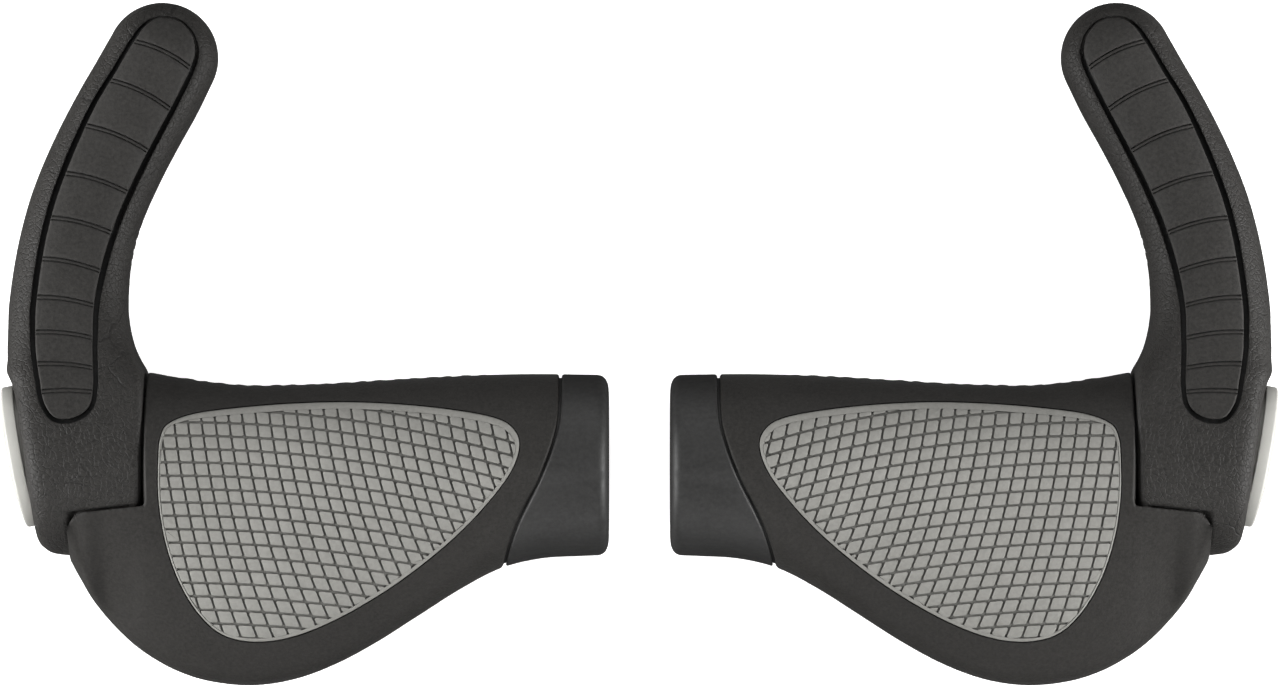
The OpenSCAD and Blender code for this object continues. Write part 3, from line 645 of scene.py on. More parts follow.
def hring(s, e, N):
    """N points evenly spaced round the section at s."""
    f = hfr(s, e)
    t = np.linspace(0, 2 * math.pi, 2881)
    w, z = hring_wz(f, t)
    L = np.r_[0, np.cumsum(np.hypot(np.diff(w), np.diff(z)))]
    g = np.linspace(0, L[-1], N, endpoint=False)
    return f, np.interp(g, L, w), np.interp(g, L, z)


def htop(s, w, e):
    f = hfr(s, 0); w = np.asarray(w, float)
    n = np.where(w < 0, f[7], f[6]); q = np.minimum(0.999, np.abs(w) / max(0.5, f[4]))
    return hpt(f, w, f[5] * (1 - q ** n) ** (1 / n) - e)


TP = np.array([[8.0, -2.8, 0.6], [8.12, -2.75, 1.3], [8.4, -2.7, 2.2], [9.1, -2.4, 3.4], [10.3, -2.1, 4.5], [12, -1.95, 5.35], [14.4, -1.75, 5.8], [19, -1.0, 6.2],
               [25, -0.3, 6.45], [33.6, 0.1, 6.6], [41.3, 0.35, 6.85], [49.5, 0.45, 7.1], [58.5, 0.35, 7.3], [67.5, 0.15, 7.4], [75, 0.15, 7.1],
               [81.1, 0.2, 6.8], [84.6, 0.2, 6.2], [86.8, 0, 4.9], [88.1, -0.1, 3.4], [88.9, -0.1, 1.5], [89.1, -0.1, 0.6]])
T_LO, T_HI = TP[0, 0], TP[-1, 0]


def thumb_outline(g, n=420):
    """Closed outline of the thumb groove in (s, w), moved inwards by g, or by g of the station."""
    s = T_LO + (T_HI - T_LO) * 0.5 * (1 - np.cos(np.linspace(0, math.pi, n)))
    w0 = spl(TP, s, 1); hw = spl(TP, s, 2)
    a = np.c_[s, w0 + hw]; b = np.c_[s, w0 - hw][::-1]
    o = np.vstack([a, b])
    if callable(g) or g:
        g = g(o[:, 0])[:, None] if callable(g) else g
        t = np.roll(o, -3, 0) - np.roll(o, 3, 0)
        nr = np.c_[t[:, 1], -t[:, 0]]; nr /= np.maximum(1e-9, np.linalg.norm(nr, axis=1))[:, None]
        c = np.array([48.0, -0.8])
        sg = np.sign(((o - c) * nr).sum(1).mean())
        o = o - nr * sg * g
    return o


def outline_dist(S, W, o):
    """Distance from points (S, W) to outline o, negative inside."""
    d = np.full(S.shape, 1e9)
    ins = np.zeros(S.shape, bool)
    a = o; b = np.roll(o, -1, 0)
    for p, q in zip(a[::2], np.roll(a[::2], -1, 0)):
        v = q - p; L = v @ v
        if L < 1e-12:
            continue
        t = np.clip(((S - p[0]) * v[0] + (W - p[1]) * v[1]) / L, 0, 1)
        d = np.minimum(d, np.hypot(S - p[0] - t * v[0], W - p[1] - t * v[1]))
        cross = ((p[1] > W) != (q[1] > W))
        with np.errstate(divide="ignore", invalid="ignore"):
            xi = (q[0] - p[0]) * (W - p[1]) / (q[1] - p[1] + 1e-30) + p[0]
        ins ^= cross & (S < xi)
    return np.where(ins, -d, d)


def half_widths(s, o):
    """Both edges of outline o at station s."""
    n = len(o) // 2
    up = o[:n]; dn = o[n:][::-1]
    return np.interp(s, up[:, 0], up[:, 1]), np.interp(s, dn[:, 0], dn[:, 1])


def thumb_tool(depth, over, n_w=25):
    """Solid that cuts the thumb groove."""
    o = thumb_outline(0.0)
    ss = T_LO + 0.02 + (T_HI - T_LO - 0.04) * 0.5 * (1 - np.cos(np.linspace(0, math.pi, 150)))
    top, bot = [], []
    for s in ss:
        a, b = half_widths(s, o)
        w = np.linspace(b, a, n_w)
        bot.append(htop(s, w, depth)); top.append(htop(s, w, -over))
    top = np.array(top); bot = np.array(bot); m = len(ss)
    V = np.vstack([bot.reshape(-1, 3), top.reshape(-1, 3)]); N = m * n_w; F = []
    for j in range(m - 1):
        for i in range(n_w - 1):
            a = j * n_w + i
            F.append((a, a + n_w, a + n_w + 1, a + 1)); F.append((N + a, N + a + 1, N + a + n_w + 1, N + a + n_w))
        a = j * n_w; F.append((a, N + a, N + a + n_w, a + n_w))
        a = j * n_w + n_w - 1; F.append((a, a + n_w, N + a + n_w, N + a))
    for i in range(n_w - 1):
        F.append((i, i + 1, N + i + 1, N + i)); a = (m - 1) * n_w + i; F.append((a, N + a, N + a + 1, a + 1))
    return V, F


FP = np.array([[30, 246, 296], [32, 222, 330], [35, 208, 352], [39, 202, 366], [45, 200, 371], [51, 200, 366], [58, 202, 356], [66, 204, 348],
               [74, 210, 338], [78, 220, 326], [80.5, 244, 300]], float)


def finger_grid(ss, n, g, e):
    """Grid of points on the horn's underside at stations ss; e is an array of depths (len(ss), n)."""
    P = np.empty((len(ss), n, 3))
    for j, s in enumerate(ss):
        a = (float(spl(FP, s, 1)) + g * 5) * D2R; b = (float(spl(FP, s, 2)) - g * 5) * D2R
        f = hfr(s, 0); t = np.linspace(a, b, n)
        w, z = hring_wz(f, t)
        # inward normal of the section
        dw = np.gradient(w); dz = np.gradient(z); L = np.hypot(dw, dz)
        nw, nz = -dz / L, dw / L
        P[j] = hpt(f, w + nw * e[j], z + nz * e[j])
    return P


def sheet_solid(top, bot):
    m, n = top.shape[:2]; N = m * n
    V = np.vstack([top.reshape(-1, 3), bot.reshape(-1, 3)]); F = []
    for j in range(m - 1):
        for i in range(n - 1):
            a = j * n + i
            F.append((a, a + 1, a + n + 1, a + n)); F.append((N + a, N + a + n, N + a + n + 1, N + a + 1))
        a = j * n; F.append((a, a + n, N + a + n, N + a))
        a = j * n + n - 1; F.append((a, N + a, N + a + n, a + n))
    for i in range(n - 1):
        F.append((i, N + i, N + i + 1, i + 1)); a = (m - 1) * n + i; F.append((a, a + 1, N + a + 1, N + a))
    return V, F


CAP_X, CAP_Y, CAP_T = 117.35, 1.7, 10.5 * D2R
BOLT_X, BOLT_Y = 103.5, 19.6


def on_cap(h, r, t):
    """Point at height h, radius r and angle t round the end cap's axis."""
    h, r, t = np.broadcast_arrays(h, r, t)
    y = r * np.cos(t); z = r * np.sin(t)
    c, s = math.cos(-CAP_T), math.sin(-CAP_T)
    return np.stack([CAP_X + h * c - y * s, CAP_Y + h * s + y * c, z], -1)


def cap_cyl(r, h0, h1, n=160):
    t = np.arange(n) * 2 * math.pi / n
    return loft(np.array([on_cap(h0, r, t), on_cap(h1, r, t)]), on_cap(h0, 0, 0), on_cap(h1, 0, 0))


def horn_skin(side, sign):
    N = 200
    ss = np.r_[-17.12, -17.0, -16.8, -16.5, -16.1, np.arange(-15.5, -9.6, 0.62), np.arange(-9.5, -5.9, 0.16), np.arange(-5.6, 81.0, 0.62), 81.1, S_TIP + R_TIP * np.sin(np.linspace(4, 88.5, 26) * D2R)]
    o = thumb_outline(0.0)
    rings = []
    W = np.empty((len(ss), N)); Z = np.empty((len(ss), N)); fr = []
    for j, s in enumerate(ss):
        f, w, z = hring(s, 0, N); W[j] = w; Z[j] = z; fr.append(f)
    S = np.repeat(ss[:, None], N, 1)
    d = outline_dist(S, W, o)
    tip = smooth(64, 88, S)                                # wider roll towards the tip
    drop = np.where(Z > 0, (0.14 + 0.75 * tip) * np.clip(1 - np.maximum(d, 0) / (0.5 + 2.6 * tip), 0, 1) ** 2, 0)
    for j, f in enumerate(fr):
        rings.append(hpt(f, W[j], Z[j] - drop[j]))
    rings = np.array(rings)
    # the housing is stepped in where it runs under the wing's lip
    x, y = rings[..., 0], rings[..., 1]
    dip = 0.95 * smooth(-6.85, -7.5, y + (x - 93) * 0.105) * smooth(-16.2, -14.5, y) * (1 - smooth(106.4, 108.2, x)) * smooth(94.6, 96, x)
    rr = np.hypot(rings[..., 1], rings[..., 2])
    k = np.where(rr > 1, 1 - dip / np.maximum(rr, 1), 1)
    rings[..., 1] *= k; rings[..., 2] *= k
    V, F = loft(rings, hpt(fr[0], 0, 0), hpt(hfr(S_TIP + R_TIP, 0), 0, 0))
    ob = new_object(f"{side}_horn_skin", V, F, sign)
    M = 96
    si = np.r_[-15.95, np.arange(-15.4, 81.0, 1.2), 81.1, S_TIP + (R_TIP - 1) * np.sin(np.linspace(10, 86, 10) * D2R)]
    inner = np.array([hpt(f, w, z) for f, w, z in (hring(s, 1.0, M) for s in si)])
    tools = [thumb_tool(1.3, 3.0),
             loft(inner, hpt(hfr(si[0], 1.0), 0, 0), hpt(hfr(S_TIP + R_TIP - 1, 1.0), 0, 0))]
    ss2 = np.linspace(30, 80.5, 90)
    n = 60
    tools.append(sheet_solid(finger_grid(ss2, n, 0, np.full((90, n), -1.5)), finger_grid(ss2, n, 0, np.full((90, n), 1.5))))
    tools += [xcyl(15.0, 90, 100), zcyl(BOLT_X, BOLT_Y, 5.2, -30, -6), cap_cyl(13.6, -4, 4)]
    cut(ob, tools, sign)
    tidy(ob); shade(ob, 38)
    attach(ob, f"{side}_bar_end"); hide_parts(f"{side}_horn_cover")
    return ob


# [station on the outboard edge, station on the inboard edge] of each rib across the thumb pad
RIBS = np.array([[14.1, 14.1], [19.4, 18.6], [25.4, 24.3], [31.8, 30.6], [38.5, 37.9], [45.9, 46.3], [54.2, 55.3], [63.5, 64.6], [73.2, 73.7], [81.9, 81.9]])


def thumb_pad(side, sign):
    o = thumb_outline(lambda s: 1.16 - 0.26 * smooth(40, 10, s) - 0.25 * smooth(55, 80, s) - 0.42 * smooth(82, 88.5, s))
    s_lo, s_hi = o[:, 0].min() + 0.02, o[:, 0].max() - 0.02
    mid = RIBS.mean(1); tilt = (RIBS[:, 1] - RIBS[:, 0]) / 2
    base = []
    gap = [-0.62, -0.55, -0.5, -0.45, -0.41, -0.36, -0.31, -0.27, -0.22, -0.17, -0.1, 0, 0.1, 0.17, 0.22, 0.27, 0.31, 0.36, 0.41, 0.45, 0.5, 0.55, 0.62]
    for m in mid:
        base += [m + g for g in gap]
    grid = np.linspace(0, math.pi, 130); grid = s_lo + (s_hi - s_lo) * 0.5 * (1 - np.cos(grid))
    base += [g for g in grid if np.min(np.abs(mid - g)) > 0.7]
    fine = np.r_[s_lo + np.array([0, .01, .03, .07, .12, .2, .3]), s_hi - np.array([0, .01, .03, .07, .12, .2, .3])]
    base = np.unique(np.r_[base, fine]); base = base[(base >= s_lo) & (base <= s_hi)]
    v = np.r_[-1, -0.995, -0.985, -0.965, -0.935, -0.89, np.linspace(-0.83, 0.83, 27), 0.89, 0.935, 0.965, 0.985, 0.995, 1]
    top = np.empty((len(base), len(v), 3)); bot = np.empty_like(top)
    for j, s0 in enumerate(base):
        keep = smooth(s_lo + 0.5, s_lo + 5, s0) * (1 - smooth(s_hi - 5.5, s_hi - 1.0, s0))
        tl = np.interp(s0, mid, tilt) * keep
        arch = np.interp(s0, [12, 30, 55, 80], [0.25, 0.5, 0.6, 0.7]) * keep
        sv = s0 + tl * v + arch * (1 - v * v) - arch * 0.4
        near = s0 - mid[np.argmin(np.abs(mid - s0))]
        # two fine lines with a shallow channel between them; the one towards the tip is the deeper
        line = 0.62 * math.exp(-((near - 0.36) / 0.12) ** 2) + 0.45 * math.exp(-((near + 0.36) / 0.11) ** 2)
        chan = 0.10 * (1 - float(smooth(0.3, 0.5, abs(near))))
        swell = 0.10 * (1 - float(smooth(0.5, 2.6, abs(near))))
        for i, (s, q) in enumerate(zip(sv, v)):
            s = float(np.clip(s, s_lo, s_hi))
            a, b = half_widths(s, o)
            w = b + (a - b) * (q + 1) / 2
            # rounded edges all round
            ed = min((1 - abs(q)) * (a - b) / 2 + 0.0, 9)
            e2 = min(s - s_lo, s_hi - s) * 1.0
            ed = min(ed, e2)
            r = 0.38
            fall = 0.0 if ed >= r else r - math.sqrt(max(0, r * r - (r - ed) ** 2))
            rib = (line + chan) * float(smooth(0.0, 0.06, 1 - abs(q))) + swell
            top[j, i] = htop(s, w, -0.16 + fall + rib)
            bot[j, i] = htop(s, w, 1.2)
    V, F = sheet_solid(top, bot)
    ob = new_object(f"{side}_thumb_inlay", V, F, sign)
    tidy(ob, 0.000002); shade(ob, 50)
    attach(ob, f"{side}_bar_end"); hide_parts(f"{side}_thumb_pad")
    return ob


def finger_pad(side, sign):
    lo, hi = 30.3, 80.2
    ss = np.unique(np.r_[np.linspace(lo, hi, 200), lo + 0.05, lo + 0.15, lo + 0.35, hi - 0.05, hi - 0.15, hi - 0.35])
    n = 72
    q = np.linspace(-1, 1, n)
    S, Q = np.meshgrid(ss, q, indexing="ij")
    span = np.array([(float(spl(FP, s, 2)) - float(spl(FP, s, 1)) - 3) * D2R * 9.5 for s in ss])[:, None]
    ed = np.minimum((1 - np.abs(Q)) * span / 2, np.minimum(S - lo, hi - S))
    r = 0.5
    fall = np.where(ed < r, r - np.sqrt(np.maximum(0, r * r - (r - ed) ** 2)), 0)
    ph = (S - lo) / 2.5 + 0.25 * np.abs(Q)
    rib = 0.32 * (1 - smooth(0.10, 0.2, np.abs((ph % 1) - 0.5))) * smooth(1.2, 2.2, ed)
    E = 0.05 + fall * 0.8 + rib
    V, F = sheet_solid(finger_grid(ss, n, 0.3, E), finger_grid(ss, n, 0.3, np.full(S.shape, 0.95)))
    ob = new_object(f"{side}_finger_inlay", V, F, sign)
    shade(ob, 50)
    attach(ob, f"{side}_bar_end"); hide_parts(f"{side}_finger_pad")
    return ob


def lathe(name, side, sign, prof, n=192):
    t = np.arange(n) * 2 * math.pi / n
    inner = [p for p in prof if p[0] > 1e-6]
    rings = np.array([on_cap(h, r, t) for r, h in inner])
    V, F = loft(rings, on_cap(prof[0][1], 0, 0), on_cap(prof[-1][1], 0, 0))
    return new_object(name, V, F, sign)


def arc(cx, cy, r, a0, a1, n=6):
    return [(cx + r * math.cos(a * D2R), cy + r * math.sin(a * D2R)) for a in np.linspace(a0, a1, n)]


def end_cap(side, sign):
    prof = [(0, -0.9), (11.7, -0.9), (11.7, -2.7), (11.8, -2.8), (12.8, -2.8), (12.9, -2.7), (12.9, -1.0), (13.4, -1.0)]
    prof += arc(13.3, -0.8, 0.2, -90, 0, 4) + arc(13.0, 0.95, 0.5, 5, 75, 7)
    prof += [(12.2, 1.58), (11.3, 1.72), (11.15, 1.62), (11.0, 1.58), (10.85, 1.64), (10.7, 1.76), (9.9, 1.86)] + arc(9.62, 1.55, 0.3, 80, 180, 6)
    prof += [(9.3, 0.32), (9.0, 0.3), (0, 0.3)]
    ob = lathe(f"{side}_cap_shell", side, sign, prof)
    shade(ob, 42)
    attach(ob, f"{side}_bar_end"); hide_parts(f"{side}_end_cap")
    prof = [(0, 0.4), (9.0, 0.4), (9.15, 0.5)] + arc(8.8, 1.75, 0.35, 0, 75, 6)
    prof += [(8.2, 2.13), (7.6, 2.19), (7.45, 2.14), (7.3, 2.13), (7.15, 2.2), (6.5, 2.28), (5.0, 2.36), (3.5, 2.42), (1.8, 2.47), (0, 2.5)]
    bd = lathe(f"{side}_badge_disc", side, sign, prof)
    shade(bd, 42)
    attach(bd, f"{side}_bar_end"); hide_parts(f"{side}_cap_badge")
    return ob, bd


# ---------------------------------------------------------------------------
# Materials
# ---------------------------------------------------------------------------
class Nodes:
    def __init__(self, name):
        self.m = bpy.data.materials.new(name); self.m.use_nodes = True
        self.t = self.m.node_tree; self.t.nodes.clear()
        self.out = self.t.nodes.new("ShaderNodeOutputMaterial")
        self.b = self.t.nodes.new("ShaderNodeBsdfPrincipled")
        self.t.links.new(self.b.outputs[0], self.out.inputs[0])
        self.co = self.t.nodes.new("ShaderNodeTexCoord").outputs["Object"]

    def link(self, a, b):
        self.t.links.new(a, b)

    def val(self, node, key, v):
        if hasattr(v, "links"):
            self.link(v, node.inputs[key])
        else:
            node.inputs[key].default_value = v

    def mapping(self, scale=(1, 1, 1), rot=(0, 0, 0)):
        n = self.t.nodes.new("ShaderNodeMapping")
        self.link(self.co, n.inputs[0]); n.inputs["Scale"].default_value = scale; n.inputs["Rotation"].default_value = rot
        return n.outputs[0]

    def noise(self, scale, detail=3, rough=0.55, co=None, dist=0.0):
        n = self.t.nodes.new("ShaderNodeTexNoise")
        self.link(co or self.co, n.inputs["Vector"])
        n.inputs["Scale"].default_value = scale; n.inputs["Detail"].default_value = detail
        n.inputs["Roughness"].default_value = rough; n.inputs["Distortion"].default_value = dist
        return n.outputs[0]

    def voronoi(self, scale, feature="DISTANCE_TO_EDGE", co=None, rand=1.0):
        n = self.t.nodes.new("ShaderNodeTexVoronoi"); n.feature = feature
        self.link(co or self.co, n.inputs["Vector"]); n.inputs["Scale"].default_value = scale
        n.inputs["Randomness"].default_value = rand
        return n.outputs["Distance"]

    def ramp(self, x, stops):
        n = self.t.nodes.new("ShaderNodeValToRGB"); self.link(x, n.inputs[0])
        r = n.color_ramp
        while len(r.elements) < len(stops):
            r.elements.new(0.5)
        for e, (p, c) in zip(r.elements, stops):
            e.position = p; e.color = (c, c, c, 1) if not hasattr(c, "__len__") else tuple(c) + (1,)
        return n.outputs[0]

    def map(self, x, a, b, c, d):
        n = self.t.nodes.new("ShaderNodeMapRange"); self.link(x, n.inputs[0])
        for i, v in enumerate((a, b, c, d)):
            n.inputs[i + 1].default_value = v
        return n.outputs[0]

    def math(self, op, a, b=0.0):
        n = self.t.nodes.new("ShaderNodeMath"); n.operation = op
        self.val(n, 0, a); self.val(n, 1, b)
        return n.outputs[0]

    def mix(self, f, a, b):
        n = self.t.nodes.new("ShaderNodeMix"); n.data_type = "RGBA"
        self.val(n, 0, f)
        for k, v in ((6, a), (7, b)):
            if hasattr(v, "links"):
                self.link(v, n.inputs[k])
            else:
                n.inputs[k].default_value = tuple(v) + (1,)
        return n.outputs[2]

    def warp(self, scale, amount):
        """Object coordinates pushed about by noise."""
        n = self.t.nodes.new("ShaderNodeTexNoise"); self.link(self.co, n.inputs["Vector"]); n.inputs["Scale"].default_value = scale
        m = self.t.nodes.new("ShaderNodeVectorMath"); m.operation = "SUBTRACT"; self.link(n.outputs["Color"], m.inputs[0]); m.inputs[1].default_value = (0.5, 0.5, 0.5)
        k = self.t.nodes.new("ShaderNodeVectorMath"); k.operation = "SCALE"; self.link(m.outputs[0], k.inputs[0]); k.inputs[3].default_value = amount
        a = self.t.nodes.new("ShaderNodeVectorMath"); a.operation = "ADD"; self.link(self.co, a.inputs[0]); self.link(k.outputs[0], a.inputs[1])
        return a.outputs[0]

    def bump(self, height, dist, strength=1.0, normal=None):
        n = self.t.nodes.new("ShaderNodeBump"); n.inputs["Distance"].default_value = dist
        n.inputs["Strength"].default_value = strength
        self.link(height, n.inputs["Height"])
        if normal is not None:
            self.link(normal, n.inputs["Normal"])
        return n.outputs[0]

    def bevel(self, r, samples=4):
        n = self.t.nodes.new("ShaderNodeBevel"); n.samples = samples; n.inputs["Radius"].default_value = r
        return n.outputs[0]

    def edges(self, r, samples=4):
        """1 on convex edges of radius r, 0 elsewhere, from how far the rounded normal turns."""
        g = self.t.nodes.new("ShaderNodeNewGeometry")
        d = self.t.nodes.new("ShaderNodeVectorMath"); d.operation = "DOT_PRODUCT"
        self.link(self.bevel(r, samples), d.inputs[0]); self.link(g.outputs["Normal"], d.inputs[1])
        return self.map(d.outputs["Value"], 1.0, 0.9, 0.0, 1.0)

    def finish(self, color, rough, normal=None, spec=0.5, metallic=0.0, sheen=0.0, sheen_rough=0.4):
        for k, v in (("Base Color", color), ("Roughness", rough), ("Specular IOR Level", spec), ("Metallic", metallic), ("Sheen Weight", sheen), ("Sheen Roughness", sheen_rough)):
            if hasattr(v, "links"):
                self.link(v, self.b.inputs[k])
            elif k == "Base Color":
                self.b.inputs[k].default_value = tuple(v) + (1,)
            else:
                self.b.inputs[k].default_value = v
        if normal is not None:
            self.link(normal, self.b.inputs["Normal"])
        return self.m


def mat_rubber(name, dark, light, grain, depth, wrinkle=0.0, crease=0.0, mottle=1.0, rough=(0.52, 0.7), spec=0.35, bevel=0.0004):
    n = Nodes(name)
    big = n.noise(38, 3, 0.6)
    mid = n.noise(260, 4, 0.6)
    fine = n.noise(grain, 2, 0.5)
    f = n.math("ADD", n.math("MULTIPLY", big, 0.5), n.math("MULTIPLY", mid, 0.5))
    col = n.mix(n.map(f, 0.34, 0.66, 0.0, 1.0), dark, light)
    # speckle half a millimetre across, and pale dust in the grain
    sp = n.noise(1500, 4, 0.75)
    col = n.mix(n.map(sp, 0.36, 0.66, 0.0, 0.55 * mottle), col, tuple(min(1, c * 2.0) for c in light))
    pit = n.ramp(n.noise(1900, 2, 0.6), [(0.0, 1.0), (0.34, 0.6), (0.42, 0.0), (1.0, 0.0)])
    col = n.mix(n.math("MULTIPLY", pit, 0.45 * mottle), col, tuple(c * 0.35 for c in dark))
    nrm = n.bevel(bevel, 4)
    cells = n.voronoi(grain * 0.42, "SMOOTH_F1")
    h = n.math("ADD", n.math("MULTIPLY", fine, 0.6), n.math("MULTIPLY", cells, 0.55))
    nrm = n.bump(h, depth, 0.8, nrm)
    nrm = n.bump(sp, depth * 1.4, 0.6 * mottle, nrm)
    if wrinkle:
        co = n.warp(300, 0.0016)
        w = n.voronoi(1000, "DISTANCE_TO_EDGE", co)
        w = n.ramp(w, [(0.0, 0.0), (0.06, 0.55), (0.16, 1.0), (1.0, 1.0)])
        # painted shade: the colour is darkened along the wrinkle lines
        col = n.mix(n.map(w, 0.0, 0.7, 0.32, 0.0), col, tuple(c * 0.4 for c in dark))
        nrm = n.bump(w, wrinkle, 0.8, nrm)
    if crease:
        # a few longer creases, in patches
        co = n.warp(95, 0.006)
        w = n.voronoi(150, "DISTANCE_TO_EDGE", co)
        w = n.ramp(w, [(0.0, 0.0), (0.012, 0.3), (0.03, 1.0), (1.0, 1.0)])
        area_ = n.ramp(n.noise(55, 2, 0.5), [(0.0, 0.0), (0.5, 0.0), (0.62, 1.0), (1.0, 1.0)])
        w = n.math("SUBTRACT", 1.0, n.math("MULTIPLY", n.math("SUBTRACT", 1.0, w), area_))
        # painted shade: the colour is darkened along the creases
        col = n.mix(n.map(w, 0.0, 1.0, 0.45, 0.0), col, tuple(c * 0.3 for c in dark))
        nrm = n.bump(w, crease, 0.8, nrm)
    r = n.map(n.math("ADD", n.math("MULTIPLY", mid, 0.6), n.math("MULTIPLY", fine, 0.4)), 0.3, 0.7, *rough)
    return n.finish(col, r, nrm, spec, sheen=0.03)


def mat_pad(name="pad_rubber_m", k=1.0):
    n = Nodes(name)
    big = n.noise(45, 3, 0.6); mid = n.noise(420, 4, 0.65); fine = n.noise(3800, 2, 0.5)
    # k below 1 gives a darker copy of this rubber, used as painted shade in the grooves
    c = lambda *v: tuple(q * k * 0.82 for q in v)
    col = n.mix(n.map(big, 0.3, 0.7, 0, 1), c(0.232, 0.229, 0.212), c(0.268, 0.264, 0.246))
    col = n.mix(n.map(mid, 0.35, 0.72, 0.0, 0.5), col, c(0.200, 0.198, 0.183))
    sp = n.noise(1300, 3, 0.65)
    col = n.mix(n.map(sp, 0.38, 0.68, 0.0, 0.5), col, c(0.300, 0.296, 0.277))
    rub = n.ramp(n.noise(120, 5, 0.7), [(0.0, 0.0), (0.62, 0.0), (0.75, 0.5), (1.0, 0.6)])
    col = n.mix(n.math("MULTIPLY", rub, 0.35), col, c(0.32, 0.315, 0.297))
    nrm = n.bump(n.math("ADD", n.math("MULTIPLY", fine, 0.7), n.math("MULTIPLY", mid, 0.6)), 0.00005, 0.7, n.bevel(0.0001, 4))
    return n.finish(col, n.map(mid, 0.3, 0.7, 0.6, 0.8), nrm, 0.22)


def mat_collar():
    n = Nodes("core_plastic_m")
    big = n.noise(60, 3, 0.6); fine = n.noise(2600, 3, 0.55); scr = n.noise(700, 4, 0.7, n.mapping((0.25, 1, 1)))
    col = n.mix(n.map(big, 0.3, 0.7, 0, 1), (0.0150, 0.0148, 0.0145), (0.0210, 0.0208, 0.0204))
    sp = n.noise(1200, 3, 0.65)
    col = n.mix(n.map(sp, 0.36, 0.66, 0.0, 0.4), col, (0.036, 0.0355, 0.035))
    wear = n.math("MULTIPLY", n.edges(0.0008, 4), n.map(scr, 0.42, 0.7, 0.0, 1.0))
    col = n.mix(n.math("MULTIPLY", wear, 0.35), col, (0.045, 0.045, 0.045))
    nrm = n.bump(n.math("ADD", n.math("MULTIPLY", fine, 0.6), n.math("MULTIPLY", scr, 0.4)), 0.000022, 0.7, n.bevel(0.0003, 4))
    return n.finish(col, n.map(scr, 0.3, 0.7, 0.46, 0.60), nrm, 0.28)


def mat_cap(name, a, b):
    n = Nodes(name)
    big = n.noise(90, 3, 0.6); mid = n.noise(700, 4, 0.6); fine = n.noise(4200, 2, 0.5)
    col = n.mix(n.map(big, 0.3, 0.7, 0, 1), a, b)
    dust = n.ramp(n.noise(900, 3, 0.7), [(0.0, 0.0), (0.66, 0.0), (0.8, 0.6), (1.0, 1.0)])
    col = n.mix(n.math("MULTIPLY", dust, 0.22), col, tuple(c * 0.6 for c in a))
    nrm = n.bump(n.math("ADD", n.math("MULTIPLY", fine, 0.7), n.math("MULTIPLY", mid, 0.4)), 0.00002, 0.6, n.bevel(0.0003, 4))
    return n.finish(col, n.map(mid, 0.3, 0.7, 0.42, 0.58), nrm, 0.4)


def mat_metal(name, a, b, rough, grain, depth, metallic=1.0):
    n = Nodes(name)
    mid = n.noise(grain * 0.2, 4, 0.65); fine = n.noise(grain, 3, 0.6)
    col = n.mix(n.map(mid, 0.3, 0.7, 0, 1), a, b)
    col = n.mix(n.math("MULTIPLY", n.edges(0.0003, 4), 0.6), col, tuple(min(1, c * 1.5 + 0.05) for c in b))
    nrm = n.bump(fine, depth, 0.7, n.bevel(0.0003, 4))
    return n.finish(col, n.map(mid, 0.3, 0.7, *rough), nrm, 0.5, metallic=metallic)


def mat_floor():
    n = Nodes("floor_m")
    col = n.mix(n.map(n.noise(7, 4, 0.6), 0.3, 0.7, 0, 1), (0.90, 0.90, 0.895), (0.915, 0.915, 0.91))
    n.b.inputs["Emission Color"].default_value = (1, 1, 1, 1); n.b.inputs["Emission Strength"].default_value = 0.8
    return n.finish(col, 0.9, n.bump(n.noise(900, 3, 0.6), 0.00004, 0.3), 0.1)


def give(ob, mat):
    if ob.type == "MESH":
        me = ob.data
        if ob.name in frame["nodes"] or any(o == ob for o in frame["nodes"].values()):
            for s in ob.material_slots:
                s.link = "OBJECT"; s.material = mat
            if not ob.material_slots:
                me.materials.append(mat)
        else:
            idx = [p.material_index for p in me.polygons]
            me.materials.clear()
            for m in (mat if isinstance(mat, (list, tuple)) else [mat]):
                me.materials.append(m)
            if len(me.materials) > 1:
                me.polygons.foreach_set("material_index", idx)


M_COVER = mat_rubber("grip_rubber_m", (0.0120, 0.0113, 0.0104), (0.0172, 0.0162, 0.0150), 2300, 0.00009, mottle=0.8, rough=(0.54, 0.70), spec=0.2, bevel=0.0003)
M_HORN = mat_rubber("horn_skin_m", (0.0112, 0.0104, 0.0095), (0.0164, 0.0154, 0.0142), 2600, 0.00008, wrinkle=0.00008, crease=0.00012, rough=(0.50, 0.66), spec=0.22, bevel=0.0003)
M_INLAY = mat_rubber("inlay_rubber_m", (0.0152, 0.0145, 0.0136), (0.0210, 0.0200, 0.0188), 3000, 0.00005, rough=(0.60, 0.76), spec=0.18, bevel=0.0001)
M_HCORE = mat_rubber("horn_plastic_m", (0.012, 0.012, 0.0118), (0.017, 0.017, 0.0168), 2400, 0.00003, rough=(0.50, 0.64), spec=0.2, bevel=0.0002)
M_PAD = mat_pad()
# painted shade: the pad rubber at 0.6 of its brightness, for the groove floors and the lower block sides
M_GROOVE_SHADE = mat_pad("pad_groove_shade_m", 0.6)
M_CORE = mat_collar()
M_CAP = mat_cap("cap_plastic_m", (0.40, 0.395, 0.37), (0.45, 0.445, 0.415))
M_BADGE = mat_cap("badge_plastic_m", (0.34, 0.337, 0.315), (0.39, 0.386, 0.36))
M_RING = mat_metal("forged_ring_m", (0.50, 0.51, 0.53), (0.62, 0.63, 0.65), (0.38, 0.52), 3000, 0.00003)
M_BOLT = mat_metal("bolt_steel_m", (0.035, 0.035, 0.038), (0.06, 0.06, 0.064), (0.30, 0.45), 2600, 0.00001)
M_WASH = mat_metal("washer_steel_m", (0.45, 0.46, 0.47), (0.56, 0.57, 0.58), (0.28, 0.42), 2600, 0.00001)

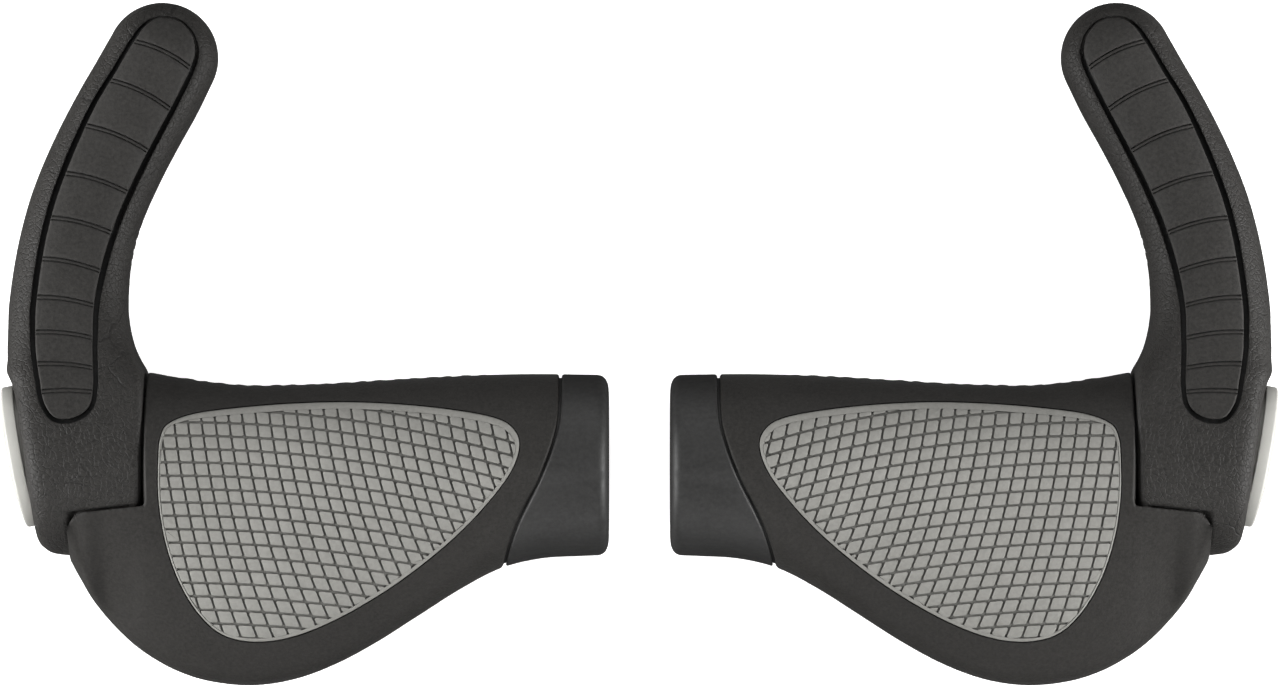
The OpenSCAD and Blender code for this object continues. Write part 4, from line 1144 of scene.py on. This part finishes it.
for side, sign in SIDES:
    give(grip_cover(side, sign), M_COVER)
    c, sl = collar(side, sign); give(c, M_CORE); give(sl, M_CORE)
    give(textured_pad(side, sign), [M_PAD, M_GROOVE_SHADE])
    give(horn_skin(side, sign), M_HORN)
    give(thumb_pad(side, sign), M_INLAY)
    give(finger_pad(side, sign), M_INLAY)
    cap, badge = end_cap(side, sign); give(cap, M_CAP); give(badge, M_BADGE)
    for node, m in (("clamp_ring", M_RING), ("clamp_bolt", M_BOLT), ("bolt_washer", M_WASH), ("horn_core", M_HCORE)):
        give(frame["nodes"][f"{side}_{node}"], m)

# ---------------------------------------------------------------------------
# Floor, light and camera
# ---------------------------------------------------------------------------
lo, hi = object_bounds()
span = hi[0] - lo[0]


def floor():
    n = 24; w = span * 6
    g = np.linspace(-w, w, n)
    V = [(x, y, lo[2] - 0.00002) for y in g for x in g]
    F = [(j * n + i, j * n + i + 1, (j + 1) * n + i + 1, (j + 1) * n + i) for j in range(n - 1) for i in range(n - 1)]
    me = bpy.data.meshes.new("floor"); me.from_pydata(V, [], F)
    ob = bpy.data.objects.new("floor", me); bpy.context.scene.collection.objects.link(ob)
    me.materials.append(mat_floor())
    ob.visible_diffuse = False; ob.visible_glossy = False


floor()


def area_light(name, loc, size, power, target=(0, 0, 0.015), color=(1, 1, 1), size_y=None):
    L = bpy.data.lights.new(name, "AREA"); L.energy = power; L.size = size; L.color = color
    if size_y:
        L.shape = "RECTANGLE"; L.size_y = size_y
    ob = bpy.data.objects.new(name, L); bpy.context.scene.collection.objects.link(ob)
    ob.location = loc
    from mathutils import Vector
    d = Vector(target) - Vector(loc)
    ob.rotation_euler = d.to_track_quat("-Z", "Y").to_euler()
    return ob


for side, sign in SIDES:
    area_light(f"soft_{side}", (sign * 0.64, -0.08, 0.21), 0.5, 10.5, target=(sign * 0.09, 0.0, 0.015))
area_light("soft_front", (0.0, 1.2, 0.6), 0.9, 5.2)
area_light("soft_rear", (0.0, -1.2, 0.5), 0.9, 5.2)
# a soft dome, bright overhead and dim below the horizon
world = bpy.data.worlds.new("studio"); bpy.context.scene.world = world
world.use_nodes = True
wt = world.node_tree
bg = wt.nodes["Background"]
wc = wt.nodes.new("ShaderNodeTexCoord"); wx = wt.nodes.new("ShaderNodeSeparateXYZ"); wm = wt.nodes.new("ShaderNodeMapRange")
wt.links.new(wc.outputs["Generated"], wx.inputs[0]); wt.links.new(wx.outputs["Z"], wm.inputs[0])
for k, v in enumerate((-0.15, 0.55, 0.055, 0.215)):
    wm.inputs[k + 1].default_value = v
wt.links.new(wm.outputs[0], bg.inputs[1])
bg.inputs[0].default_value = (1.0, 1.0, 0.995, 1)

cam = bpy.data.cameras.new("camera")
co = bpy.data.objects.new("camera", cam); bpy.context.scene.collection.objects.link(co)
cam.sensor_width = 36; cam.lens = 36 * 1500 / 243.2
cam.clip_start = 0.05; cam.clip_end = 20
co.location = (0.000095, 0.000025, BAR[2] + 1.5); co.rotation_euler = (0, 0, 0)
bpy.context.scene.camera = co
bpy.context.scene.view_settings.view_transform = "Standard"
bpy.context.scene.view_settings.look = "None"
